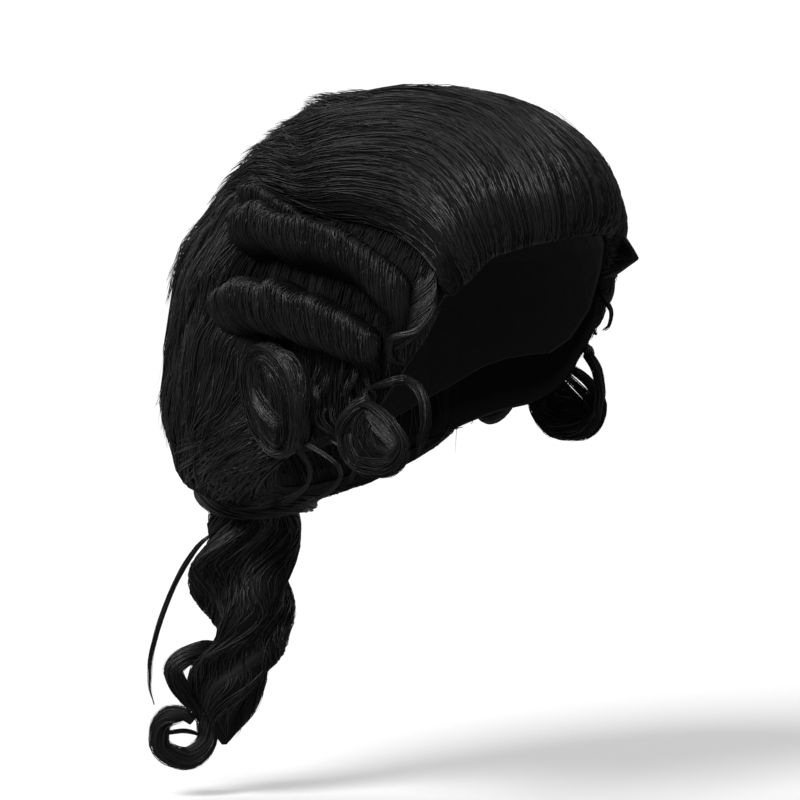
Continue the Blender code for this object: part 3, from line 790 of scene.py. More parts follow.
def crown_piece(look):
    rng = np.random.default_rng(101)
    tress = Tress()
    columns, rows = 146, 56
    lanes = np.linspace(-1, 1, columns)
    s = np.linspace(0, 1, rows)[:, None]
    y0 = np.interp(lanes, LINE_LANE, LINE_Y)
    y1 = np.interp(lanes, BACK_LANE, BACK_Y) + 1.5
    qy = y0 + (y1 - y0) * s
    qx = lane_x(np.broadcast_to(lanes, qy.shape), qy)
    phi, t = from_flat(qx, qy)
    t = np.minimum(t, around(TOP_BORDER, phi) + 1.5)
    d = way(phi, t)
    outer = place(d, crown_radius(phi, t) - 0.3)
    inner = place(d, hair_floor(phi, t))
    add_shell(tress, outer, inner, ((lanes + 1) / 2 * np.ones_like(qy), s * np.ones_like(qy)), 5, flip=True)
    # Strands that rise from under the front hairline
    count = 820
    lanes = rng.uniform(-1, 1, count)
    y0 = np.interp(lanes, LINE_LANE, LINE_Y)
    phi, t = from_flat(lane_x(lanes, y0), y0)
    wall = crown_radius(phi, t) - hair_floor(phi, t)
    start = y0 - (wall + rng.uniform(0.5, 3, count)) / MM_PER_DEGREE
    s = np.array([0, 0.04, 0.08, 0.12, 0.18, 0.27, 0.4, 0.55, 0.7, 0.85, 1.0])
    lift = rng.uniform(0.0, 0.7, (count, 1)) - 0.8 * s[None, :] ** 4
    thick = rng.uniform(0.26, 0.46, count)
    # A share of these strands, spread at random, gets painted shade.
    painted_shade = rng.uniform(0, 1, count) < FRONT_PAINTED_SHADE
    lay(tress, rng, lanes, start, rng.uniform(36, 74, count), lift, thick, s, radius=crown_radius, edge=top_border_front, painted_shade=painted_shade)
    # Strands over the crown and on over the back
    count = 1100
    lanes = rng.uniform(-1.02, 1.02, count)
    inside = np.clip(lanes, -1, 1)
    y0 = np.interp(inside, LINE_LANE, LINE_Y)
    y1 = np.interp(inside, BACK_LANE, BACK_Y)
    start = y0 + (y1 - y0) * rng.uniform(0.03, 0.88, count)
    length = np.minimum(rng.uniform(34, 72, count), y1 + 24 - start)
    s = evenly(10)
    lift = settled(rng, count, s, 0.0, 0.8)
    # Strands near the crown's lower border get painted shade more often: a painted dark band over the upper roll.
    low = (np.abs(lanes) > 0.915) & (start > -34) & (start < 34)
    painted_shade = rng.uniform(0, 1, count) < np.where(low, 0.8, CROWN_PAINTED_SHADE)
    lay(tress, rng, lanes, start, length, lift, rng.uniform(0.27, 0.5, count), s, radius=crown_over, painted_shade=painted_shade)
    # Locks with lifted ends towards the back
    turned = np.concatenate([rng.normal(143, 5, 56), rng.uniform(112, 178, 14)])
    left = rng.uniform(0, 1, len(turned)) < 0.4
    phi = np.where(left, 360 - turned, turned)
    lifted_locks(tress, rng, phi, rng.uniform(14, 47, len(phi)), 6, (6, 12), (2.0, 5.2), 0.12)
    return tress.build("top_hair_combed", look, "hair", "top_hair")


def top_border_front(phi):
    """The hairline of the top in front, out of reach elsewhere."""
    turned = np.abs((phi + 180) % 360 - 180)
    return np.where(turned < 62, around(TOP_BORDER, phi), 300.0)


def lifted_locks(tress, rng, phi, t, strands, long, high, sway):
    """Small locks whose tips stand off the hair."""
    count = len(phi)
    qx, qy = flat_map(phi, t)
    lx, ly = flow(rng, qx, qy, rng.uniform(*long, count), 8, sway)
    height = np.repeat(rng.uniform(*high, count), strands)
    total = count * strands
    s = evenly(8)[None, :]
    ahead = np.stack([np.gradient(lx, axis=1), np.gradient(ly, axis=1)], -1)
    ahead /= np.linalg.norm(ahead, axis=-1, keepdims=True) + 1e-9
    ahead = np.repeat(ahead, strands, axis=0)
    offset = rng.normal(0, 1.0, (total, 1)) * (1 - 0.86 * s)
    slide = rng.uniform(-1.8, 1.8, (total, 1))
    lx = np.repeat(lx, strands, axis=0) - ahead[..., 1] * offset + ahead[..., 0] * slide
    ly = np.repeat(ly, strands, axis=0) + ahead[..., 0] * offset + ahead[..., 1] * slide
    lift = height[:, None] * s ** 1.9 + rng.uniform(-0.4, 1.5, (total, 1)) * (1 - s) * s * 3
    lift = lift + 0.4 - 1.6 * (1 - np.minimum(1, s * 4))
    p, q = from_flat(lx, ly)
    q = np.minimum(q, hair_edge(p) - 0.5)
    d = way(p, q)
    form = np.minimum(1, 0.5 + s * 5) * (1 - 0.9 * s ** 2.4)
    points = place(d, outer_radius(p, q) + lift)
    add_strands(tress, points, d, rng.uniform(0.3, 0.5, (total, 1)) * form, rng)


def back_piece(look):
    rng = np.random.default_rng(102)
    tress = Tress()
    columns, rows = 126, 56
    first = BACK_START + 1
    s = np.linspace(0, 1, rows)[:, None]
    start = back_front(48 + 76 * s)
    both = start + (360 - 2 * start) * np.linspace(0, 1, columns)[None, :]
    top = around(TOP_BORDER, both) - 0.5
    t = top + (around(HAIR_EDGE, both) - top) * s
    d = way(both, t)
    outer = place(d, back_radius(both, t) - 0.3)
    inner = place(d, hair_floor(both, t))
    add_shell(tress, outer, inner, ((both - 120) / 120, s * np.ones_like(t)), 5)
    # Strands over the whole back, down to the tie and under the lower edge
    count = 1150
    share = rng.uniform(0, 0.97, count) ** 0.9
    begin = back_front(48 + 76 * share)
    phi = begin + (360 - 2 * begin) * rng.uniform(0, 1, count)
    top = around(TOP_BORDER, phi)
    t = top + (around(HAIR_EDGE, phi) - top) * share
    qx, qy = flat_map(phi, t)
    s = evenly(9)
    qx, qy = flow(rng, qx, qy, rng.uniform(16, 40, count), 9)
    p, q = from_flat(qx, qy)
    points, normals = fold_under(p, q, settled(rng, count, s, 0.0, 1.1), back_radius, hair_edge)
    form = np.minimum(1, 0.55 + s * 6) * (1 - 0.85 * s ** 3)
    part_shaded(tress, points, normals, rng.uniform(0.27, 0.5, (count, 1)) * form, rng, BACK_PAINTED_SHADE)
    # Strands over the front of the back hair, from behind the rolls
    count = 460
    t = rng.uniform(49, 125, count)
    left = np.where(rng.uniform(0, 1, count) < 0.5, 1, -1)
    begin = back_front(t)
    qx, qy = flat_map(begin - 0.2 + rng.uniform(0, 2.5, count) ** 1.5, t)
    qx, qy = flow(rng, qx, qy, rng.uniform(10, 30, count), 8, 0.1)
    p, q = from_flat(qx, qy)
    s = evenly(8)[None, :]
    lift = rng.uniform(0.1, 1.2, (count, 1)) - 1.5 * (1 - np.minimum(1, s * 5)) - 0.8 * s ** 4
    points, normals = fold_under(p, q, lift, back_radius, hair_edge)
    points[left < 0] *= (-1, 1, 1)
    normals[left < 0] *= (-1, 1, 1)
    form = np.minimum(1, 0.55 + s * 6) * (1 - 0.85 * s ** 3)
    part_shaded(tress, points, normals, rng.uniform(0.26, 0.48, (count, 1)) * form, rng, BACK_PAINTED_SHADE)
    # Strands down the front wall, all with painted shade
    count = 240
    left = np.where(rng.uniform(0, 1, count) < 0.5, 1, -1)
    s = evenly(7)[None, :]
    q = rng.uniform(49, 112, (count, 1)) + rng.uniform(8, 22, (count, 1)) * s
    p = back_front(q) - 0.3 - rng.uniform(0, 0.4, (count, 1))
    rise = np.clip(rng.uniform(0.0, 1.0, (count, 1)) + 0.3 * s - 0.1, 0.0, 0.97)
    foot = side_top(BACK_START + 0 * p, q)
    points = place(way(p, q), foot + (back_radius(p + 0.8, q) - foot) * rise)
    ahead = np.stack([np.cos(np.radians(p)), -np.sin(np.radians(p)), 0 * p], -1)
    points[left < 0] *= (-1, 1, 1)
    ahead[left < 0] *= (-1, 1, 1)
    form = np.minimum(1, 0.55 + s * 6) * (1 - 0.85 * s ** 3)
    add_strands(tress, points, ahead, rng.uniform(0.3, 0.5, (count, 1)) * form, rng, deep=True)
    # Strands that come up round the lower edge
    count = 260
    phi = rng.uniform(121.5, 238.5, count)
    t = hair_edge(phi) + rng.uniform(-9, 1, count)
    qx, qy = flat_map(phi, t)
    before = rng.uniform(5, 15, count)
    length = before + np.minimum(rng.uniform(8, 24, count), GATHER - 2 - qy)
    s = evenly(9)
    lift = rng.uniform(0.1, 1.3, (count, 1)) - 0.8 * s[None, :] ** 4
    lay(tress, rng, lane_of(qx, qy), qy - before, length, lift, rng.uniform(0.26, 0.46, count), s, wander=0.03, radius=back_radius)
    # Strands along the lower front corner, in towards the tie
    count = 220
    left = np.where(rng.uniform(0, 1, count) < 0.5, 1, -1)
    s = evenly(9)[None, :]
    q0 = rng.uniform(108, 124, (count, 1))
    p0 = back_front(q0) + rng.uniform(0.2, 5, (count, 1))
    p = p0 + rng.uniform(26, 46, (count, 1)) * s ** 1.25
    q = q0 + rng.uniform(3, 13, (count, 1)) * (1 - (1 - s) ** 2)
    low = hair_edge(p) + rng.uniform(-0.5, 3.0, (count, 1))
    q = np.minimum(q, low)
    lift = rng.uniform(0.3, 1.3, (count, 1)) - 0.8 * s ** 4 - 1.0 * (1 - np.minimum(1, s * 5))
    points, normals = fold_under(p, q, lift, back_radius, hair_edge)
    points[left < 0] *= (-1, 1, 1)
    normals[left < 0] *= (-1, 1, 1)
    form = np.minimum(1, 0.55 + s * 6) * (1 - 0.85 * s ** 3)
    part_shaded(tress, points, normals, rng.uniform(0.28, 0.46, (count, 1)) * form, rng, BACK_PAINTED_SHADE)
    # Strands on the underside, in towards the tie, all with painted shade
    count = 300
    left = np.where(rng.uniform(0, 1, count) < 0.5, 1, -1)
    s = evenly(7)[None, :]
    p = rng.uniform(123, 172, (count, 1)) + rng.uniform(12, 30, (count, 1)) * s
    low = hair_edge(p)
    foot = hair_floor(p, low)
    wall = back_radius(p, low) - foot
    r = foot + wall * np.clip(rng.uniform(0.05, 1.0, (count, 1)) - 0.35 * s + rng.normal(0, 0.08, (count, 1)) * s, 0.0, 1.0)
    points = place(way(p, low + 0.25 + rng.uniform(0, 0.3, (count, 1))), r)
    a, b = np.radians(p), np.radians(low)
    beneath = np.stack([-np.cos(b) * np.sin(a), -np.cos(b) * np.cos(a), -np.sin(b)], -1)
    points[left < 0] *= (-1, 1, 1)
    beneath[left < 0] *= (-1, 1, 1)
    form = np.minimum(1, 0.55 + s * 6) * (1 - 0.85 * s ** 3)
    add_strands(tress, points, beneath, rng.uniform(0.45, 0.8, (count, 1)) * form, rng, deep=True)
    # Strands on the inside, under the cap's edge
    count = 180
    phi = rng.uniform(first, 360 - first, count)
    low = around(HAIR_EDGE, phi)
    s = evenly(7)[None, :]
    t = (low - 22)[:, None] + 22.5 * s
    p = phi[:, None] + rng.normal(0, 4, (count, 1)) * s
    d = way(p, t)
    inside = hair_floor(p, t) - 0.3 - rng.uniform(0, 0.6, (count, 1))
    add_strands(tress, place(d, inside), -d, rng.uniform(0.35, 0.6, (count, 1)) * (1 - 0.7 * s ** 3), rng)
    # Layered tips: more of them where the sides turn to the back
    turned = np.concatenate([rng.normal(144, 5, 74), rng.uniform(131, 180, 56)])
    left = rng.uniform(0, 1, len(turned)) < 0.45
    phi = np.where(left, 360 - turned, turned)
    lifted_locks(tress, rng, phi, rng.uniform(36, 108, len(phi)), 6, (8, 17), (2.0, 6.0), 0.16)
    return tress.build("back_hair_combed", look, "hair", "back_hair")


# ---------------------------------------------------------------- rolls


def smooth_loop(points, count):
    """Evenly spaced points on a smooth line through a short list."""
    p = np.array(points, float)
    p = np.concatenate([[2 * p[0] - p[1]], p, [2 * p[-1] - p[-2]]])
    out = []
    for i in range(1, len(p) - 2):
        u = np.linspace(0, 1, 16, endpoint=False)[:, None]
        a, b, c, d = p[i - 1], p[i], p[i + 1], p[i + 2]
        out.append(0.5 * (2 * b + (c - a) * u + (2 * a - 5 * b + 4 * c - d) * u ** 2 + (3 * b - a - 3 * c + d) * u ** 3))
    out.append(p[-2][None])
    fine = np.concatenate(out)
    lengths = np.concatenate([[0], np.cumsum(np.linalg.norm(np.diff(fine, axis=0), axis=1))])
    wanted = np.linspace(0, lengths[-1], count)
    return np.stack([np.interp(wanted, lengths, column) for column in fine.T], axis=-1)


def spread(rows, count):
    """Rows of a table at evenly spaced steps along its first three columns."""
    table = np.array(rows, float)
    index = np.arange(len(table), dtype=float)
    fine = np.linspace(0, len(table) - 1, 40 * len(table))
    smooth = np.stack([curve(list(zip(index, column)), fine) for column in table.T], axis=-1)
    pieces = np.linalg.norm(np.diff(smooth[:, :3], axis=0), axis=1)
    lengths = np.concatenate([[0], np.cumsum(pieces)])
    wanted = np.linspace(0, lengths[-1], count)
    return np.stack([np.interp(wanted, lengths, column) for column in smooth.T], axis=-1)


class Roll:
    """Places on a roll by a, along its crest, and b, round its section from the upper root to the lower."""

    def __init__(self, rows, seed):
        self.table = spread(rows, 240)
        self.section = smooth_loop(ROLL_SECTION, 200)
        self.noise = Noise(seed)

    def at(self, a, b, lift=0.0):
        a, b, lift = np.broadcast_arrays(a, b, lift)
        ka = np.clip(a, 0, 1) * 239
        kb = np.clip(b, 0, 1) * 199
        phi, t, out, face = (np.interp(ka, np.arange(240), self.table[:, c]) for c in range(4))
        down, up = (np.interp(kb, np.arange(200), self.section[:, c]) for c in range(2))
        crest = np.exp(-((down - 0.02) / 0.3) ** 2)
        ends = np.sqrt(np.clip(1 - (1 - np.clip((1 - a) / 0.11, 0, 1)) ** 2, 0.01, 1))
        ridges = self.noise(a * 22, b * 1.8) * 0.8 + self.noise(a * 64 + 50, b * 1.4) * 0.5
        uneven = self.noise(a * 14 + 20, 0.5) * 1.1 * crest
        up = up * (out * (0.3 + 0.7 * ends) + uneven) + (ridges + lift) * np.clip(up * 3, 0, 1)
        down = down * face * (0.42 + 0.58 * ends) + self.noise(a * 17 + 90, 0.3) * 0.9 * crest
        reach = (skull(way(phi, t)) + 12 + up * 0.5) * math.pi / 180
        phi = phi + self.noise(a * 11 + 7, b * 1.2) * 0.5
        t = t + down / reach
        floor = side_top(np.minimum(phi, BACK_START + 1), t)
        return place(way(phi, t), floor + GAP + np.maximum(up, 0))


def roll_surface(tress, rng, roll, along, around_, count, stray):
    a = np.linspace(0, 1, along)[:, None]
    b = np.linspace(0, 1, around_)[None, :]
    grid = roll.at(a, b)
    add_grid(tress, grid, (b * np.ones_like(a), a * np.ones_like(b)))
    for end, flip in ((0, True), (-1, False)):
        ring = grid[end]
        middle = ring.mean(axis=0)
        deep = grid[along // 14 if end == 0 else -1 - along // 14].mean(axis=0) - middle
        shares = ((1.0, 0.0), (0.8, -0.05), (0.6, 0.1), (0.42, 0.5), (0.2, 0.7), (0.0, 0.7))
        cap = np.array([middle + (ring - middle) * share + deep * sunk for share, sunk in shares])
        u = np.linspace(0, 1, around_)[None, :] * np.ones((len(cap), 1))
        v = 0.02 * np.arange(len(cap))[:, None] * np.ones((1, around_))
        add_grid(tress, cap, (u, v), flip=not flip)
    steps = 8
    a0 = rng.uniform(0.0, 1.0, count)
    lean = rng.normal(0.0, 0.01, count)
    early = rng.uniform(0, 1, count) < 0.7
    b0 = np.where(early, rng.uniform(0.02, 0.3, count), rng.uniform(0.3, 0.6, count))
    b1 = np.minimum(0.97, b0 + rng.uniform(0.3, 0.62, count))
    s = np.linspace(0, 1, steps)[None, :]
    b = b0[:, None] + (b1 - b0)[:, None] * s
    a = a0[:, None] + lean[:, None] * (s - 0.3) + 0.004 * np.sin(s * 4 + rng.uniform(0, 6, (count, 1)))
    loose = np.where(rng.uniform(0, 1, (count, 1)) < stray, rng.uniform(0.5, 2.2, (count, 1)), 0.0)
    lift = rng.uniform(0.0, 0.8, (count, 1)) - 1.0 * (1 - np.minimum(1, s * 6)) - 0.6 * s ** 4
    lift = lift + loose * np.sin(np.pi * np.clip(s * 1.2, 0, 1))
    points = roll.at(a, b, lift)
    step = 0.004
    du = roll.at(np.minimum(a + step, 1), b, lift) - roll.at(np.maximum(a - step, 0), b, lift)
    dv = roll.at(a, np.minimum(b + step, 1), lift) - roll.at(a, np.maximum(b - step, 0), lift)
    normals = np.cross(dv, du)
    normals /= np.linalg.norm(normals, axis=-1, keepdims=True) + 1e-9
    body = points - roll.at(a, np.full_like(b, 0.5), -6.0)
    normals *= np.where((normals * body).sum(-1, keepdims=True) < 0, -1.0, 1.0)
    s = np.linspace(0, 1, steps)[None, :]
    form = np.minimum(1, 0.55 + s * 6) * (1 - 0.85 * s ** 3)
    add_strands(tress, points, normals, rng.uniform(0.22, 0.42, (count, 1)) * form, rng)


def roll_fan(tress, rng, roll, count):
    """Strands that leave the front end of a roll and run on down the side."""
    a = rng.uniform(0.8, 1.0, (count, 1))
    b = rng.uniform(0.2, 0.45, (count, 1)) + np.linspace(0, 0.4, 6)[None, :]
    lift = rng.uniform(0.2, 1.6, (count, 1))
    on = roll.at(a, np.minimum(b, 0.8), lift)
    phi, t, _ = angles(on[:, -1])
    s = np.array([0.3, 0.65, 1.0])[None, :]
    p = phi[:, None] + rng.uniform(-1.0, 3.5, (count, 1)) * s
    q = t[:, None] + rng.uniform(5, 13, (count, 1)) * s
    down = place(way(p, q), side_top(p, q) + 0.8 + rng.uniform(0.2, 3.0, (count, 1)) * (1 - s) ** 0.7)
    points = np.concatenate([on, down], axis=1)
    points[:, 1:-1] = 0.25 * points[:, :-2] + 0.5 * points[:, 1:-1] + 0.25 * points[:, 2:]
    normals = points - np.array([0, 0, -HEAD_RISE])
    normals /= np.linalg.norm(normals, axis=-1, keepdims=True)
    s = np.linspace(0, 1, points.shape[1])[None, :]
    form = np.minimum(1, 0.55 + s * 6) * (1 - 0.85 * s ** 3)
    add_strands(tress, points, normals, rng.uniform(0.22, 0.4, (count, 1)) * form, rng)


def roll_piece(name, node, tables, seed, side, look):
    rng = np.random.default_rng(seed)
    tress = Tress()
    roll_fan(tress, rng, Roll(tables[0], seed), 170 if len(tables) > 1 else 60)
    roll_surface(tress, rng, Roll(tables[0], seed), 106, 36, 940, 0.2)
    for rows in tables[1:]:
        roll_surface(tress, rng, Roll(rows, seed + 7), 46, 24, 260, 0.2)
    if side < 0:
        tress = tress.mirrored()
    return tress.build(name, look, "hair", node)


# ---------------------------------------------------------------- locks along paths


def frames_along(path, closed=False):
    """Directions along a path and two across it, carried without twist."""
    path = np.asarray(path, float)
    if closed:
        along = np.roll(path, -1, axis=0) - np.roll(path, 1, axis=0)
    else:
        along = np.gradient(path, axis=0)
    along /= np.linalg.norm(along, axis=1)[:, None]
    across = np.cross(along[0], (0.3, 0.2, 1.0))
    sides, others = [], []
    for direction in along:
        across = across - direction * across.dot(direction)
        across = across / np.linalg.norm(across)
        sides.append(across)
        others.append(np.cross(direction, across))
    return along, np.array(sides), np.array(others)


def add_lock(tress, rng, path, radii, strands, twist=0.6, thick=(0.25, 0.42), sides=16, steps=None, flat=1.0, closed=False, fray=0.25, run=(0.45, 0.95), painted_shade=0.0):
    """Lock along a path: a ridged core with strands wound over it."""
    path = np.asarray(path, float)
    radii = np.asarray(radii, float)
    count = len(path)
    along, one, two = frames_along(path, closed)
    noise = Noise(int(rng.integers(1, 10 ** 6)))
    lengths = np.concatenate([[0], np.cumsum(np.linalg.norm(np.diff(path, axis=0), axis=1))])
    share = lengths / lengths[-1]
    turns = 2 * math.pi * np.arange(sides) / sides
    core = []
    for k in range(count):
        phase = turns - twist * 2 * math.pi * share[k]
        ridge = 1 + 0.1 * noise(phase * 2.2 + 30, share[k] * 5) + 0.06 * noise(phase * 5 + 70, share[k] * 6)
        r = radii[k] * 0.93 * ridge
        core.append(path[k] + r[:, None] * (np.cos(turns)[:, None] * one[k] * flat + np.sin(turns)[:, None] * two[k]))
    core = np.array(core)
    u = np.arange(sides) / sides
    add_grid(tress, core, (u[None, :] * np.ones((count, 1)), share[:, None] * np.ones((1, sides))), wrap=True)
    if not closed:
        for ring, flip in ((core[0], True), (core[-1], False)):
            cap = np.stack([ring, np.broadcast_to(ring.mean(axis=0), ring.shape)])
            add_grid(tress, cap, (u[None, :] * np.ones((2, 1)), np.array([[0.0], [0.02]]) * np.ones((1, sides))), wrap=True, flip=flip)
    n = steps or max(8, int(lengths[-1] / 4))
    n = min(n, 22)
    reach = rng.uniform(run[0], run[1], strands)
    first = rng.uniform(0, 1, strands) * (1 - reach)
    first = np.where(rng.uniform(0, 1, strands) < 0.3, 0, first)
    s = first[:, None] + reach[:, None] * np.linspace(0, 1, n)[None, :]
    angle = rng.uniform(0, 2 * math.pi, strands)[:, None] + twist * 2 * math.pi * s + rng.normal(0, 0.25, (strands, 1)) * np.sin(s * 7)
    index = np.interp(s, share, np.arange(count))
    grid = np.arange(count)

    def read(values):
        return np.stack([np.interp(index, grid, column) for column in values.T], -1)

    centre = read(path)
    a = read(one)
    b = read(two)
    r = np.interp(index, grid, radii)
    local = np.linspace(0, 1, n)[None, :]
    height = rng.uniform(0.93, 1.08, (strands, 1)) - 0.2 * (1 - np.minimum(1, local * 5)) + fray * rng.uniform(-0.3, 1, (strands, 1)) * local ** 4
    out = np.cos(angle)[..., None] * a * flat + np.sin(angle)[..., None] * b
    points = centre + (r * height)[..., None] * out
    normals = np.cos(angle)[..., None] * a + np.sin(angle)[..., None] * b * flat
    normals /= np.linalg.norm(normals, axis=-1, keepdims=True)
    widths = taper(n, rng.uniform(*thick, strands))
    # A share of the strands, as given, takes the painted-shade look.
    split = int(painted_shade * strands)
    for part, deep in ((slice(0, split), True), (slice(split, None), False)):
        if len(points[part]):
            add_strands(tress, points[part], normals[part], widths[part], rng, deep=deep)


def keep_off(points, floor):
    phi, t, radius = angles(points)
    return place(way(phi, t), np.maximum(radius, floor(phi, t)))


def over_side(phi, t):
    edge = around(HAIR_EDGE, phi)
    near = (t < edge + 2) & (phi > 45) & (phi < 126.5)
    return np.where(near, side_top(phi, np.minimum(t, edge)) + 1.9 * GAP, 0)


def curl_path(rows, count, back):
    steps = spread(rows, count)
    steps[:, 1] += back
    radii = steps[:, 3]
    return keep_off(steps[:, :3], lambda p, q: over_side(p, q) + radii), radii


def ear_place(y, z, height):
    """Place over the ear from mm back and down from the middle of the curl."""
    phi0, t0 = EAR_CURL[:2]
    y = y - 0.12 * z + 0.003 * z * z
    t = t0 + np.degrees(z / 98)
    phi = phi0 + np.degrees(y / 98) / np.sin(np.radians(t))
    return place(way(phi, t), side_top(np.minimum(phi, BACK_START), t) + GAP + height)


EAR_HEIGHTS = [
    (0.0, 0.8), (0.35, 0.82), (0.55, 0.8), (0.66, 0.76), (0.8, 0.9), (0.9, 0.84), (0.97, 0.5), (1.0, 0.12),
]
EAR_SLIT = 0.5


def ear_point(share, angle, lift):
    """Place on the oval curl over the ear."""
    half_width, half_height, out = EAR_CURL[2:]
    wind = share * (1 - 0.06 * np.cos(angle - 0.8))
    y = np.cos(angle) * half_width * wind * (1 - 0.16 * np.sin(angle))
    z = np.sin(angle) * half_height * (wind + EAR_SLIT * (1 - share)) * (1 + 0.05 * np.sin(angle))
    height = out * curve(EAR_HEIGHTS, share) * (1 - 0.14 * share * np.cos(angle + 2.4))
    return ear_place(y, z, height + lift)


def ear_piece(name, node, seed, side, look):
    rng = np.random.default_rng(seed)
    tress = Tress()
    noise = Noise(seed)
    sides, rings = 64, 22
    angle = 2 * math.pi * np.arange(sides) / sides
    share = np.concatenate([[1.0, 1.0], np.linspace(1.0, 0.0, rings)])[:, None]
    swirl = angle + 2.2 * (1 - share)
    lift = 0.9 * noise(share * 8 + 10 + swirl * 0.4, np.sin(swirl) * 1.5 + 30) * np.minimum(1, share * 3)
    sunk = np.zeros((len(share), 1))
    sunk[0] = -4
    grid = ear_point(share, np.broadcast_to(angle, (len(share), sides)), lift + sunk)
    u = np.arange(sides) / sides * np.ones((len(share), 1))
    add_grid(tress, grid, (u, share * np.ones((1, sides))), wrap=True)
    steps = 10
    s = np.linspace(0, 1, steps)[None, :]
    # Groups whose last entry is True take the painted-shade look.
    groups = (
        (180, (0.9, 2.4), (0.9, 1.0), (0.0, 0.06), False), (90, (0.9, 2.4), (0.55, 0.92), (0.0, 0.2), False),
        (110, (0.9, 2.4), (0.5, 0.92), (0.0, 0.2), True), (70, (1.2, 2.6), (0.08, 0.55), (0.0, 0.25), False),
        (90, (1.2, 2.6), (0.08, 0.6), (0.0, 0.25), True),
    )
    for count, turns, first, inward, deep in groups:
        a0 = rng.uniform(0, 2 * math.pi, (count, 1))
        turn = rng.uniform(*turns, (count, 1))
        r0 = rng.uniform(*first, (count, 1))
        r1 = np.clip(r0 - rng.uniform(*inward, (count, 1)), 0.06, 1)
        a = a0 + turn * s
        r = r0 + (r1 - r0) * s + 0.02 * np.sin(s * 7 + rng.uniform(0, 6, (count, 1)))
        r = np.clip(r, 0.03, 0.995)
        lift = rng.uniform(0.0, 1.1, (count, 1)) - 0.9 * (1 - np.minimum(1, s * 6))
        points = ear_point(r, a, lift)
        step = 0.01
        du = ear_point(r, a + step, lift) - ear_point(r, a - step, lift)
        dv = ear_point(np.minimum(r + step, 1), a, lift) - ear_point(r - step, a, lift)
        normals = np.cross(du, dv)
        normals /= np.linalg.norm(normals, axis=-1, keepdims=True) + 1e-9
        outward = points - np.array([0, 0, -HEAD_RISE])
        normals *= np.where((normals * outward).sum(-1, keepdims=True) < 0, -1.0, 1.0)
        form = np.minimum(1, 0.55 + s * 6) * (1 - 0.85 * s ** 3)
        add_strands(tress, points, normals, rng.uniform(0.22, 0.42, (count, 1)) * form, rng, deep=deep)
    # Loose strands that cross the hollow
    count = 60
    half_width, half_height, out = EAR_CURL[2:]
    drift = rng.normal(0, 0.09, (count, 1))
    y = (0.62 - 1.0 * s + drift + 0.1 * np.sin(s * 3)) * half_width
    z = (-0.2 + 0.75 * s ** 1.3 + 0.6 * drift) * half_height
    far = np.hypot(y / half_width, z / half_height)
    height = out * curve(EAR_HEIGHTS, np.clip(far, 0, 0.8)) + rng.uniform(0.2, 2.2, (count, 1)) * np.sin(np.pi * s)
    points = ear_place(y, z, height)
    normals = points - np.array([0, 0, -HEAD_RISE])
    normals /= np.linalg.norm(normals, axis=-1, keepdims=True)
    form = np.minimum(1, 0.5 + s * 6) * (1 - 0.85 * s ** 3)
    add_strands(tress, points, normals, rng.uniform(0.24, 0.42, (count, 1)) * form, rng)
    if side < 0:
        tress = tress.mirrored()
    return tress.build(name, look, "hair", node)


